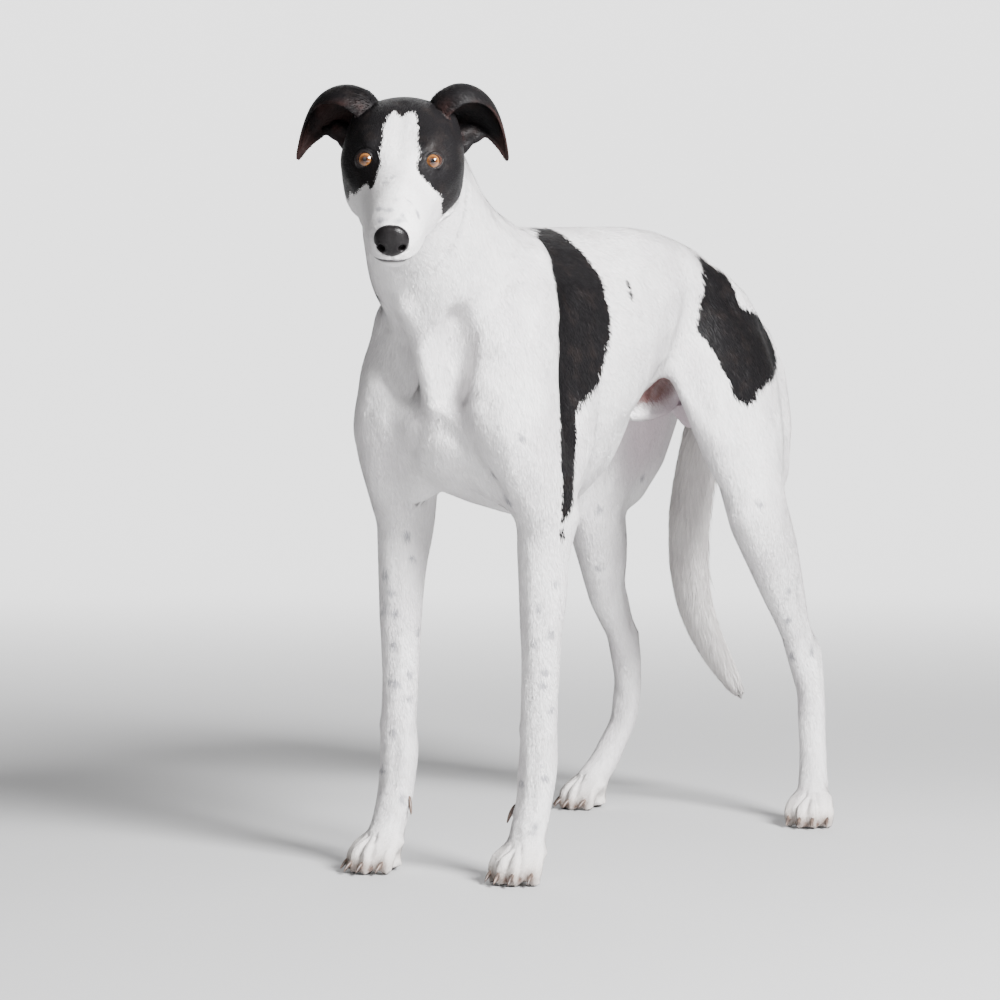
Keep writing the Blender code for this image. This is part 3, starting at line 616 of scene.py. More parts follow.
# %% Mouth
LIP_DEPTH, LIP_WIDTH = 0.0022, 0.0010
h, out = in_head_axes(skin)
line = MOUTH_RISE + 0.0012 * np.sin((h[:, 1] - MOUTH_CORNER) / 0.05)
above = h[:, 2] - line
along_mouth = ramp(h[:, 1], MOUTH_CORNER - 0.006, MOUTH_CORNER + 0.010) * (np.abs(h[:, 0]) < 0.05)
along_mouth *= h[:, 1] < 0.27
crease = np.exp(-(above / LIP_WIDTH) ** 2) * along_mouth
upper_lip = np.exp(-((above - 0.0035) / 0.0022) ** 2) * along_mouth
lower_lip = np.exp(-((above + 0.0030) / 0.0018) ** 2) * along_mouth
h += out * (0.0007 * upper_lip + 0.0003 * lower_lip - LIP_DEPTH * crease)[:, None]
# the groove from the nose down to the lip
groove = np.exp(-(h[:, 0] / 0.0011) ** 2) * ramp(h[:, 1], 0.225, 0.236)
groove *= (above > 0) & (above < 0.02)
h -= out * (0.0016 * groove)[:, None]
set_points(skin, through(HEAD, h))
print("mouth line pressed in by", LIP_DEPTH * 1000, "mm")

# %% [markdown]
# ## Opening the eyes
#
# The lids' outline is worked out in the plane of each eye. s is 0 in the middle of the opening and
# 1 on the lids' edge, and it says for every point near the eye how far from the eyeball's middle
# it has to lie.

# %% Eyelids
OPENING = 0.0092                     # half the distance between the corners of the eye
OPENING_UP, OPENING_DOWN = 0.0073, 0.0068
ALMOND = 1.8                         # 2 would open the lids in an ellipse, less makes corners
LID_THICK = 0.0010                   # the least that the lids stand off the eyeball
LID_EDGE = 0.0013                    # how far the lids' edge stands off the eyeball
LOOK = Vector((0.13, 0.90, 0.40)).normalized()      # where the left eye looks
OPEN_TOWARDS = Vector((0.26, 0.88, 0.38)).normalized()
EYE_CORNERS = Vector((0.93, -0.30, 0.20))           # from the inner corner to the outer one


def eye_axes(side):
    """Middle of the eyeball, and the axes of its opening: across, up and out."""
    middle_of_eye = np.array((side * EYE_OUT, EYE_ALONG, EYE_RISE))
    out_way = np.array((side * OPEN_TOWARDS.x, OPEN_TOWARDS.y, OPEN_TOWARDS.z))
    across = np.array((side * EYE_CORNERS.x, EYE_CORNERS.y, EYE_CORNERS.z))
    across -= out_way * (across @ out_way)
    across /= np.linalg.norm(across)
    up_way = np.cross(out_way, across)
    if up_way[2] < 0:
        up_way = -up_way
    return middle_of_eye, across, up_way, out_way


def lid_measure(h, side):
    """s for each point, then its distance from the eye's middle, its height and depth, and way."""
    centre, across, up_way, out_way = eye_axes(side)
    away = h - centre
    a, u, o = away @ across, away @ up_way, away @ out_way
    tall = np.where(u > 0, OPENING_UP, OPENING_DOWN)
    s = (np.abs(a / OPENING) ** ALMOND + np.abs(u / tall) ** ALMOND) ** (1 / ALMOND)
    return s, np.linalg.norm(away, axis=1), u, o, away


h = through(HEAD_INVERSE, points_of(skin))
lid_rim = np.zeros(len(h))
for side in (1, -1):
    s, r, u, o, away = lid_measure(h, side)
    close = (r < 0.030) & (o > 0.0)
    lid = EYE_RADIUS + LID_EDGE
    # over the lids: never closer to the ball than the lids are thick
    least = EYE_RADIUS + LID_THICK + (LID_EDGE - LID_THICK) * np.exp(-((s - 1.10) / 0.16) ** 2)
    least = np.where(s < 2.6, least, 0.0)
    new = np.maximum(r, least)
    # the upper lid's fold, and a shallow one under the eye
    fold = np.exp(-((s - 1.75) / 0.13) ** 2) * ramp(u, 0.0, 0.003) * 0.0009
    fold += np.exp(-((s - 1.85) / 0.16) ** 2) * ramp(-u, 0.0, 0.003) * 0.0006
    new -= fold
    # inside the outline: back behind the ball
    inside = ramp(1.0 - s, 0.0, 0.07)
    new = np.where(s < 1.0, lid + (EYE_RADIUS - 0.0028 - lid) * inside, new)
    h = np.where(close[:, None], h + away * ((new / np.maximum(r, 1e-9)) - 1)[:, None], h)
    lid_rim = np.maximum(lid_rim, np.where(close, np.exp(-((s - 1.0) / 0.16) ** 2), 0.0))
set_points(skin, through(HEAD, h))
print("eyes opened", OPENING * 2000, "mm wide")

# %% [markdown]
# ## Eyeballs
#
# Each eye is a ball with a slight bulge in front, the cornea. The attribute gaze keeps every
# point's place as seen along the way the eye looks, so that the iris can be drawn round its middle.

# %% Eyeballs
CORNEA_BULGE, CORNEA_EDGE = 0.0008, math.radians(40)
eyes = []
for name, side in (("left", 1), ("right", -1)):
    bpy.ops.mesh.primitive_uv_sphere_add(segments=64, ring_count=48, radius=EYE_RADIUS)
    eye = bpy.context.object
    eye.name = f"eyeball_{name}"
    eye.select_set(False)
    local = points_of(eye)
    tilt = np.arccos(np.clip(local[:, 2] / EYE_RADIUS, -1, 1))
    bulge = CORNEA_BULGE * np.cos(np.clip(tilt / CORNEA_EDGE, 0, 1) * math.pi / 2) ** 2
    local *= (1 + bulge / EYE_RADIUS)[:, None]
    gaze = eye.data.attributes.new("gaze", "FLOAT_VECTOR", "POINT")
    gaze.data.foreach_set("vector", local.ravel())
    look = Vector((side * LOOK.x, LOOK.y, LOOK.z))
    across = Vector((0, 0, 1)).cross(look).normalized()
    upward = look.cross(across)
    turned = local[:, :1] * np.array(across) + local[:, 1:2] * np.array(upward)
    turned += local[:, 2:] * np.array(look) + (side * EYE_OUT, EYE_ALONG, EYE_RISE)
    set_points(eye, through(HEAD, turned))
    eyes.append(eye)
print(len(eyes), "eyeballs")

# %% [markdown]
# ## Nose leather and claws
#
# The nose keeps the solid's outline, rounded and divided finely enough to take two comma-shaped
# nostrils and the groove between them. The claws only need rounding.

# %% Nose
NOSTRIL = np.array((0.0108, 0.2455, -0.0143))
NOSTRIL_RADIUS, NOSTRIL_DEPTH = 0.0045, 0.0065
NOSE_GRAIN, NOSE_ROUNDS = 0.00065, 12


def bore_nostrils(h, radius, depth):
    """Pushes points in front of the nose's wings back along each nostril."""
    for side in (1, -1):
        inward = np.array((-side * 0.25, -0.95, 0.20))
        inward /= np.linalg.norm(inward)
        away = h - NOSTRIL * (side, 1, 1)
        away -= np.outer(away @ inward, inward)
        hole = ramp(radius - np.linalg.norm(away, axis=1), 0.0, 0.0016) * (h[:, 1] > 0.228)
        h += inward * (depth * hole)[:, None]


h = through(HEAD_INVERSE, points_of(skin))
bore_nostrils(h, NOSTRIL_RADIUS + 0.0030, NOSTRIL_DEPTH + 0.0030)
set_points(skin, through(HEAD, h))

nose = rounded("nose_leather", ["nose"], 0.0004, 3)
applied(nose, "REMESH", mode="VOXEL", voxel_size=NOSE_GRAIN)
relax(nose, NOSE_ROUNDS)
h, out = in_head_axes(nose)
for side in (1, -1):
    # the wing of the nose stands out round the nostril
    ring = np.abs(np.linalg.norm(h - NOSTRIL * (side, 1, 1), axis=1) - NOSTRIL_RADIUS - 0.0016)
    h += out * (0.0005 * np.exp(-(ring / 0.0013) ** 2))[:, None]
    # the slit that runs from the nostril out and back
    slit = [NOSTRIL * (side, 1, 1), (side * 0.0150, 0.2420, -0.0150), (side * 0.0185, 0.2330, -0.0130)]
    stroke(h, out, slit, 0.0013, 0.0022)
bore_nostrils(h, NOSTRIL_RADIUS, NOSTRIL_DEPTH)
stroke(h, out, [(0, 0.249, -0.011), (0, 0.246, -0.024), (0, 0.240, -0.029)], 0.0009, 0.0012)
stroke(h, out, [(0, 0.236, 0.013), (0, 0.249, -0.007)], 0.0030, 0.0004)
set_points(nose, through(HEAD, h))
print("nose of", len(nose.data.polygons), "faces")

# %% [markdown]
# ## Claws
#
# All the claws are of one horn, so they become one piece.

# %% Claws
CLAW_NODES = [name for name in NODES if "claw" in name]
claws = rounded("claws", CLAW_NODES, 0.0002, 2)
print(len(CLAW_NODES), "claws of", len(claws.data.polygons), "faces in all")

# %% [markdown]
# ## Markings
#
# The dog is white with black patches. A patch is a chain of balls, and each point's depth inside
# the nearest chain says whether it is black: positive inside, negative outside. The sides of the
# body are marked in (y, z), the face in the head's own axes. The same numbers later colour the
# coat, so skin and hair always agree.


# %% Marking tools
def blot(co, chain):
    """How far inside a chain of balls each point lies. A ball is its middle and its radius."""
    best = np.full(len(co), -1.0)
    for a, b in zip(chain, chain[1:] or chain):
        start, step = np.array(a[:-1]), np.subtract(b[:-1], a[:-1])
        t = np.clip((co - start) @ step / max(step @ step, 1e-12), 0.0, 1.0)
        reach = a[-1] + (b[-1] - a[-1]) * t
        gap = np.linalg.norm(co - start - np.outer(t, step), axis=1)
        best = np.maximum(best, reach - gap)
    return best


def wander(co, size, seed):
    """Smooth noise of about the given wavelength, mostly within -1 to 1."""
    rng = np.random.default_rng(seed)
    total = np.zeros(len(co))
    for _ in range(7):
        way = rng.normal(size=3)
        way *= 2 * math.pi / size / np.linalg.norm(way)
        total += np.sin(co @ way + rng.uniform(0, 2 * math.pi))
    return total / 2.6


SADDLE = [(-0.055, 0.690, 0.020), (-0.070, 0.655, 0.045), (-0.088, 0.608, 0.053),
          (-0.102, 0.560, 0.042), (-0.146, 0.516, 0.025), (-0.160, 0.455, 0.023),
          (-0.167, 0.410, 0.012), (-0.172, 0.388, 0.006)]
ELBOW = [(-0.170, 0.372, 0.005)]
SPOT = [(0.029, 0.644, 0.0055), (0.025, 0.630, 0.004)]
RUMP = [(0.256, 0.672, 0.012), (0.264, 0.642, 0.030), (0.256, 0.594, 0.046)]
RUMP_BACK = [(0.256, 0.586, 0.044), (0.341, 0.582, 0.034)]
RUMP_LOW = [(0.252, 0.549, 0.033), (0.250, 0.528, 0.020)]
RUMP_TAG = [(0.279, 0.552, 0.026), (0.316, 0.560, 0.020)]
LEFT_PATCHES = [SADDLE, ELBOW, SPOT, RUMP, RUMP_BACK, RUMP_LOW, RUMP_TAG]
RIGHT_PATCHES = [[(0.060, 0.668, 0.026), (0.048, 0.618, 0.046), (0.020, 0.565, 0.034)],
                 [(0.330, 0.640, 0.030), (0.352, 0.602, 0.026)]]

EYE_PATCH = [(0.036, 0.119, 0.028, 0.034), (0.034, 0.085, 0.055, 0.036)]
CHEEK = [(0.053, 0.096, 0.000, 0.024), (0.047, 0.120, -0.011, 0.015)]
CHEEK_RIGHT = [(-0.050, 0.095, 0.006, 0.026)]
TONGUE = [(0.024, 0.150, 0.022, 0.008), (0.024, 0.163, 0.020, 0.004)]
TEMPLE = [(0.050, 0.072, 0.036, 0.047), (0.065, 0.030, 0.022, 0.018)]
CROWN = [(0.000, 0.030, 0.050, 0.062), (0.000, -0.008, 0.040, 0.052)]
BLAZE_HALF, BLAZE_TOP = 0.0178, 0.079
CROWN_NOTCH = 0.010                  # the black tongue that parts the blaze at its top


def flipped(chain):
    return [(-ball[0],) + ball[1:] for ball in chain]


def blackness(co, part_of_point):
    """Depth inside the black patches for points of skin or coat."""
    value = np.full(len(co), -0.05)
    left = np.max([blot(co[:, 1:], chain) for chain in LEFT_PATCHES], axis=0)
    right = np.max([blot(co[:, 1:], chain) for chain in RIGHT_PATCHES], axis=0)
    side = np.where(co[:, 0] > 0, left, right)
    clear_of_middle = np.interp(co[:, 2], (0.42, 0.66), (0.060, 0.012))
    side = np.minimum(side, np.abs(co[:, 0]) - clear_of_middle)
    names = np.array(FLESH)[part_of_point]
    on_head = np.char.startswith(names, "head") | (names == "lower_jaw")
    on_ear = np.char.startswith(names, "ear")
    on_neck = names == "neck"
    body = ~(on_head | on_ear | np.char.startswith(names, "tail") | np.char.find(names, "paw") > 0)
    value = np.where(body, side, value)
    h = through(HEAD_INVERSE, co)
    chains = [CROWN, EYE_PATCH, flipped(EYE_PATCH), TEMPLE, flipped(TEMPLE), CHEEK,
              CHEEK_RIGHT, flipped(TONGUE)]
    mask = np.max([blot(h, chain) for chain in chains], axis=0)
    notch = CROWN_NOTCH * np.clip(1 - np.abs(h[:, 0]) / 0.007, 0, 1)
    blaze_half = np.interp(h[:, 1], (0.079, 0.090, 0.115), (0.0095, 0.0150, 0.0195))
    blaze_half = np.minimum(blaze_half, BLAZE_HALF + 0.0006 * np.sin(h[:, 1] * 260))
    blaze = np.minimum(blaze_half - np.abs(h[:, 0] - 0.0005), h[:, 1] - BLAZE_TOP - notch)
    face = np.minimum(mask, -blaze)
    value = np.where(on_head | on_neck, np.maximum(face, value), value)
    value = np.where(on_ear, 0.02, value)
    calm = np.where(on_head, 0.35, 0.65)
    return value + calm * (0.0020 * wander(co, 0.035, 1) + 0.0012 * wander(co, 0.011, 2))


# Small grey freckles: left, along, up on the face, and x, y, z on the front of each leg.
FACE_FRECKLES = [(0.003, 0.208, 0.026), (0.001, 0.231, 0.018), (-0.005, 0.170, 0.032),
                 (-0.015, 0.216, 0.017), (0.006, 0.234, 0.011), (-0.004, 0.224, 0.018),
                 (0.010, 0.226, 0.014), (-0.011, 0.232, 0.008), (0.022, 0.205, 0.008)]
LEG_FRECKLES = [
    (-0.072, -0.186, 0.365), (-0.070, -0.181, 0.341), (-0.095, -0.194, 0.324),
    (-0.088, -0.194, 0.304), (-0.094, -0.193, 0.289), (-0.084, -0.192, 0.283),
    (-0.069, -0.169, 0.261), (-0.085, -0.192, 0.247), (-0.072, -0.183, 0.215),
    (-0.083, -0.193, 0.204), (-0.072, -0.184, 0.190), (-0.083, -0.195, 0.153),
    (-0.096, -0.197, 0.110), (-0.071, -0.198, 0.081), (0.110, -0.180, 0.318),
    (0.098, -0.191, 0.293), (0.109, -0.183, 0.267), (0.094, -0.193, 0.256),
    (0.104, -0.187, 0.226), (0.102, -0.189, 0.210), (0.107, -0.183, 0.184),
    (0.080, -0.196, 0.106), (0.105, -0.189, 0.112), (0.102, -0.204, 0.061),
    (-0.063, 0.329, 0.416), (-0.083, 0.258, 0.380), (-0.091, 0.336, 0.347),
    (-0.102, 0.286, 0.307), (0.136, 0.253, 0.391), (0.137, 0.328, 0.286),
    (0.129, 0.342, 0.249), (0.121, 0.368, 0.203), (0.136, 0.388, 0.209),
    (0.104, -0.239, 0.476), (0.074, -0.216, 0.408), (0.064, -0.232, 0.435)]
FRECKLE_FACE, FRECKLE_LEG = 0.0062, 0.0068


def freckled(co):
    """0 to 1: how grey the freckles make each point."""
    h = through(HEAD_INVERSE, co)
    near_face = np.min([np.linalg.norm(h - spot, axis=1) for spot in FACE_FRECKLES], axis=0)
    near_leg = np.min([np.linalg.norm(co - spot, axis=1) for spot in LEG_FRECKLES], axis=0)
    jitter = 1 + 0.35 * wander(co, 0.012, 3)
    return np.maximum(ramp(-near_face * jitter, -FRECKLE_FACE, -0.0005) * 0.85,
                      ramp(-near_leg * jitter, -FRECKLE_LEG, -0.0010) * 0.80)


def pinkness(co):
    """0 to 1: where thin hair shows the skin, on the inner thighs."""
    away = (co - (0.0, 0.290, 0.450)) / (0.075, 0.115, 0.110)
    return ramp(-np.linalg.norm(away, axis=1), -1.15, -0.5) * ramp(-np.abs(co[:, 0]), -0.085, -0.06)


def flush(co):
    """0 to 1: the nearly bare red-brown skin of the groin, above the sheath, with painted shade: it is
    coloured darker, as in the hollow under the flank's fold.
    """
    away = (co - (0.0, 0.190, 0.530)) / (0.062, 0.085, 0.034)
    return ramp(-np.linalg.norm(away, axis=1), -1.10, -0.55) * ramp(co[:, 2], 0.503, 0.512)


print("markings:", len(LEFT_PATCHES + RIGHT_PATCHES), "patches on the body")

# %% [markdown]
# ## Marks on the skin
#
# Each mark is written on the skin as an attribute from 0 to 1, which its material reads later:
# brown stains between the toes, dark lips, lids and soles, and the thin-haired inside of the ears.

# %% Skin marks
co = points_of(skin)
part = parts_of(co)
h = through(HEAD_INVERSE, co)
normals = normals_of(skin)


def paint(obj, name, values):
    layer = obj.data.attributes.new(name, "FLOAT", "POINT")
    layer.data.foreach_set("value", np.ascontiguousarray(values, np.float32))


stain = np.zeros(len(co))
for paw in PAWS:
    tips = [middle(f"claw_{paw}_{k}") for k in (1, 2, 3, 4)]
    for a, b in zip(tips, tips[1:]):
        front = (a + b) / 2
        path = [(front.x, front.y, 0.004), tuple(front.lerp(middle(paw), 0.35))]
        stain = np.maximum(stain, np.exp(-(distance_to_path(co, path) / 0.0046) ** 2) * 1.0)
    for tip in tips:
        stain = np.maximum(stain, np.exp(-(distance_to_path(co, [tip]) / 0.0088) ** 2) * 0.85)
sole = ramp(-normals[:, 2], 0.5, 0.8) * (co[:, 2] < 0.014)

line = MOUTH_RISE + 0.0012 * np.sin((h[:, 1] - MOUTH_CORNER) / 0.05)
lips = np.exp(-((h[:, 2] - line) / 0.0026) ** 2) * ramp(h[:, 1], 0.140, 0.165)
lips *= (np.abs(h[:, 0]) < 0.05) & (h[:, 1] < 0.27)
peak_line = [(0, 0.247, MOUTH_RISE + 0.006), (0, 0.246, MOUTH_RISE + 0.001)]
lip_peak = ramp(-distance_to_path(h, peak_line), -0.0056, -0.0028)
dark = np.maximum.reduce([lid_rim, lips, lip_peak, sole])
inner_ear = np.char.startswith(np.array(FLESH)[part], "ear")
inner_ear = inner_ear * ramp(normals @ np.array(HEAD.to_3x3() @ Vector((0, 0.9, -0.4))), 0.05, 0.45)

paint(skin, "black", blackness(co, part))
paint(skin, "grey", freckled(co))
paint(skin, "pink", pinkness(co))
# the groin's bare skin, with painted shade for the hollow under the fold
paint(skin, "flush", flush(co))
paint(skin, "stain", stain)
paint(skin, "dark", dark)
paint(skin, "inner_ear", inner_ear)
print("skin marked, black on", round(float((blackness(co, part) > 0).mean()), 3), "of its points")

# %% [markdown]
# ## Which way the hair lies
#
# Hair runs back from the nose, down the neck, back along the trunk, down the legs and along the
# tail. Each part gets one direction, in the dog's axes, and the directions are then blended over
# the skin, so that the coat turns smoothly from one part to the next.

# %% Lie of the coat
def head_way(left, along, up):
    return tuple(HEAD.to_3x3() @ Vector((left, along, up)).normalized())


HAIR_WAYS = {
    "head": head_way(0.0, -0.95, -0.20), "lower_jaw": head_way(0.0, -0.95, -0.30),
    "ear_left": head_way(0.75, -0.10, -0.65), "ear_right": head_way(-0.75, -0.10, -0.65),
    "neck": (-0.05, 0.45, -0.89), "trunk": (0.0, 0.80, -0.60), "tail": (-0.10, 0.20, -0.97),
    "foreleg": (0.0, 0.20, -0.98), "hindleg": (0.0, 0.30, -0.95),
    "forepaw": (0.0, -0.75, -0.66), "hindpaw": (0.0, -0.75, -0.66),
}
# Hair length, tuft width and how far the tips stand off the skin.
HAIR = {"head": (0.0046, 0.0006, 0.0002), "lower_jaw": (0.0046, 0.0006, 0.0002),
        "ear": (0.0052, 0.0009, 0.0003), "neck": (0.0110, 0.0012, 0.0007),
        "trunk": (0.0120, 0.0013, 0.0008), "tail": (0.0280, 0.0013, 0.0055),
        "foreleg": (0.0085, 0.0011, 0.0006), "hindleg": (0.0095, 0.0011, 0.0006),
        "forepaw": (0.0050, 0.0009, 0.0004), "hindpaw": (0.0050, 0.0009, 0.0004)}

near = Neighbours(skin)
way = by_part(HAIR_WAYS, (0, 0, -1), part)
hair = by_part(HAIR, (0.008, 0.001, 0.0005), part)
side_of_chest = ramp(-co[:, 1], 0.14, 0.22) * (part == FLESH.index("trunk"))
way += side_of_chest[:, None] * np.array((0.0, -0.55, -0.9))
for _ in range(45):
    way = near.mean(way)
for _ in range(14):
    hair = near.mean(hair)
# a fringe stands up on the inner edge of each ear
ear_root = np.minimum(*(np.linalg.norm(h - (side * 0.040, 0.045, 0.064), axis=1)
                        for side in (1, -1)))
fringe = ramp(-ear_root, -0.020, -0.006) * np.char.startswith(np.array(FLESH)[part], "ear")
hair *= 1 + fringe[:, None] * (0.9, 0.0, 9.0)
# shorter on the muzzle, longer under the chest, behind the thighs and along the crest of the chest
muzzle = ramp(h[:, 1], 0.10, 0.20)
hair[:, 0] *= 1 - 0.30 * muzzle
under = ramp(-normals[:, 2], 0.35, 0.9) * (co[:, 2] > 0.35) * (part == FLESH.index("trunk"))
behind_thigh = ramp(normals[:, 1], 0.5, 0.9) * (co[:, 2] > 0.30) * (co[:, 1] > 0.25)
longer = np.maximum(under, behind_thigh * 0.8)
hair *= 1 + longer[:, None] * (0.35, 0.0, 0.9)
way -= normals * np.einsum("ij,ij->i", way, normals)[:, None]
way /= np.linalg.norm(way, axis=1)[:, None] + 1e-9
bare = np.maximum.reduce([lid_rim, flush(co) * 0.7, lips * 2.2, lip_peak, sole,
                          ramp(-eye_distance(h), -0.0150, -0.0125)])
crowd = (1 - np.clip(bare, 0, 1)) / (hair[:, 0] * hair[:, 1])
crowd *= np.where(h[:, 1] > 0.2265, ramp(np.linalg.norm(h - (0, 0.2350, -0.0097), axis=1),
                                         0.0150, 0.0185), 1.0)
cream = np.where(part == FLESH.index("tail"), 0.16, 0.0) + 0.3 * behind_thigh + 0.25 * stain
cream += 0.30 * ramp(-co[:, 2], -0.060, -0.010)
for _ in range(8):
    cream = near.mean(cream)
paint(skin, "cream", cream)
print("hair", round(1000 * hair[:, 0].min(), 1), "to", round(1000 * hair[:, 0].max(), 1), "mm long")

# %% [markdown]
# ## The coat
#
# A tuft is a thin leaf of two triangles: sunk in the skin at its root, widest in the middle and
# pointed at the tip. Its tip is set just over the skin wherever it ends, so tufts bend round the
# legs instead of sticking out. Places are drawn evenly over the skin with a seeded generator.
# Each tuft takes the markings at its root, and the OFBake map gives it a small patch at its
# root's place on an unwrap of the skin: six views along the axes, each in its own cell.

# %% Coat
PATCH = 0.0030                       # a tuft's size on the OFBake map
CELL_EDGE = 0.03                     # the free edge of each cell of that map
ROOT_SINK = 0.0004
TUFT_TILT = 0.13                     # how far a tuft's shading leans from the skin's
COAT_PIECES = {
    "head": (80000, ("head", "lower_jaw")), "ears": (32000, ("ear",)), "neck": (72000, ("neck",)),
    "trunk_left": (88000, ("trunk",)), "trunk_right": (88000, ("trunk",)),
    "foreleg_left": (46000, ("foreleg_left", "forepaw_left")),
    "foreleg_right": (46000, ("foreleg_right", "forepaw_right")),
    "hindleg_left": (66000, ("hindleg_left", "hindpaw_left")),
    "hindleg_right": (66000, ("hindleg_right", "hindpaw_right")), "tail": (20000, ("tail",)),
}
SKIN_TREE = BVHTree.FromPolygons(co.tolist(), [tuple(f.vertices) for f in skin.data.polygons])


def skin_triangles():
    applied(skin, "TRIANGULATE")
    corner = np.empty(3 * len(skin.data.polygons), int)
    skin.data.polygons.foreach_get("vertices", corner)
    return corner.reshape(-1, 3)


def roots(triangles, amount, rng):
    """Even random places: the triangle of each tuft and its weights on the three corners."""
    a, b, c = co[triangles[:, 0]], co[triangles[:, 1]], co[triangles[:, 2]]
    area = np.linalg.norm(np.cross(b - a, c - a), axis=1) * crowd[triangles].mean(axis=1)
    steps = (np.arange(amount) + rng.random(amount)) / amount * area.sum()
    chosen = np.minimum(np.searchsorted(np.cumsum(area), steps), len(triangles) - 1)
    u, v = rng.random(amount), rng.random(amount)
    fold = u + v > 1
    u, v = np.where(fold, 1 - u, u), np.where(fold, 1 - v, v)
    return triangles[chosen], np.stack([1 - u - v, u, v], axis=1)


def blend(values, corners, weights):
    """Values at the roots, from those at the triangles' corners."""
    return np.einsum("ij,ij...->i...", weights, values[corners])


def unwrap(place, facing):
    """Six views along the axes, side by side in a 3 by 2 grid, without perspective."""
    low, high = place.min(axis=0), place.max(axis=0)
    inside = (place - low) / (high - low)
    axis = np.argmax(np.abs(facing), axis=1)
    sign = np.take_along_axis(facing, axis[:, None], axis=1)[:, 0] > 0
    rows = np.arange(len(place))
    u, v = inside[rows, (axis + 1) % 3], inside[rows, (axis + 2) % 3]
    filled = 1 - 2 * CELL_EDGE
    return np.stack([(axis + CELL_EDGE + filled * u) / 3, (sign + CELL_EDGE + filled * v) / 2],
                    axis=1)


def grow_coat(name, triangles, amount, seed):
    rng = np.random.default_rng(seed)
    corners, weights = roots(triangles, amount, rng)
    root, facing = blend(co, corners, weights), blend(normals, corners, weights)
    facing /= np.linalg.norm(facing, axis=1)[:, None]
    stray = np.where(np.char.startswith(np.array(FLESH)[part[corners[:, 0]]], "head"), 0.08, 0.15)
    lie = blend(way, corners, weights) + rng.normal(0, 1, (amount, 3)) * stray[:, None]
    lie -= facing * np.einsum("ij,ij->i", lie, facing)[:, None]
    lie /= np.linalg.norm(lie, axis=1)[:, None]
    length, width, rise = blend(hair, corners, weights).T * rng.uniform(0.75, 1.25, (3, amount))
    aim = root + lie * length[:, None]
    found = [SKIN_TREE.find_nearest(p)[:2] for p in aim.tolist()]
    end = np.array([place[:] for place, _ in found])
    end_facing = np.array([way_out[:] for _, way_out in found])
    sag = length / 8 * np.einsum("ij,ij->i", end_facing - facing, lie)
    middle_out = (facing + end_facing) / 2
    waist = 0.62 * root + 0.38 * end + middle_out * (rise * 0.7 + np.clip(sag, 0, 0.002))[:, None]
    across = np.cross(facing, lie) * (width / 2)[:, None]
    points = np.stack([root - facing * ROOT_SINK, waist - across, waist + across,
                       end + end_facing * rise[:, None]], axis=1)
    mesh = bpy.data.meshes.new(name)
    first = 4 * np.arange(amount)[:, None]
    loops = (first + np.array((0, 1, 2, 2, 1, 3))).ravel()
    mesh.vertices.add(4 * amount)
    mesh.vertices.foreach_set("co", points.astype(np.float32).ravel())
    mesh.loops.add(6 * amount)
    mesh.loops.foreach_set("vertex_index", loops.astype(np.int32))
    mesh.polygons.add(2 * amount)
    mesh.polygons.foreach_set("loop_start", np.arange(0, 6 * amount, 3, dtype=np.int32))
    mesh.update(calc_edges=True)
    place = unwrap(root, facing)
    patch = PATCH / 2 * np.array(((0, -1), (-1, 0), (1, 0), (0, 1)))
    spread = (place[:, None] + patch).reshape(-1, 2)[loops]
    mesh.uv_layers.new(name="OFBake").data.foreach_set("uv", spread.astype(np.float32).ravel())
    obj = bpy.data.objects.new(name, mesh)
    bpy.context.scene.collection.objects.link(obj)
    black = blackness(root, part[corners[:, 0]]) + rng.normal(0, 0.0011, amount)
    # the groin's mark among these carries painted shade, as on the skin
    marks = {"black": np.sign(black) * 0.02, "grey": freckled(root), "pink": pinkness(root),
             "flush": flush(root), "stain": blend(stain, corners, weights),
             "cream": blend(cream, corners, weights),
             "inner_ear": blend(inner_ear, corners, weights),
             "shade": rng.normal(0, 0.045, amount)}
    for key, values in marks.items():
        paint(obj, key, np.repeat(values, 4))
    mesh.polygons.foreach_set("use_smooth", np.ones(2 * amount, bool))
    # shade each tuft like the skin under it, tipped a little its own way
    tip = rng.normal(0, TUFT_TILT, (amount, 3)) + lie * TUFT_TILT
    soft = np.stack([facing, facing, facing, end_facing], axis=1) + tip[:, None]
    soft /= np.linalg.norm(soft, axis=2)[:, :, None]
    mesh.normals_split_custom_set_from_vertices(soft.reshape(-1, 3))
    return obj


triangles = skin_triangles()
home = np.array(FLESH)[part[triangles[:, 0]]]
left_side = co[triangles[:, 0], 0] > 0
coats = {}
for seed, (name, (amount, owners)) in enumerate(COAT_PIECES.items()):
    mine = np.any([np.char.startswith(home, owner) for owner in owners], axis=0)
    if name.startswith("trunk"):
        mine &= left_side if name.endswith("left") else ~left_side
    coats[name] = grow_coat("coat_" + name, triangles[mine], amount, seed)
print(sum(len(c.data.polygons) for c in coats.values()), "triangles of coat in", len(coats), "pieces")

# %% [markdown]
# ## Materials
#
# Shader sums read better as Python sums, so a small class wraps a socket and lets it be added,
# scaled and compared, each operation adding one Math node.


# %% Shader tools
class Value:
    """A shader socket that can be used in sums."""

    def __init__(self, graph, socket):
        self.graph, self.socket = graph, socket

    def math(self, operation, *others):
        inputs = {index: value for index, value in enumerate((self,) + others)}
        return self.graph.node("Math", inputs, operation=operation)

    def __add__(self, other):
        return self.math("ADD", other)

    def __sub__(self, other):
        return self.math("SUBTRACT", other)

    def __mul__(self, other):
        return self.math("MULTIPLY", other)

    def __pow__(self, other):
        return self.math("POWER", other)

    def step(self, low, high):
        """0 below low and 1 above high."""
        return self.graph.node("MapRange", {"Value": self, "From Min": low, "From Max": high},
                               interpolation_type="SMOOTHSTEP")


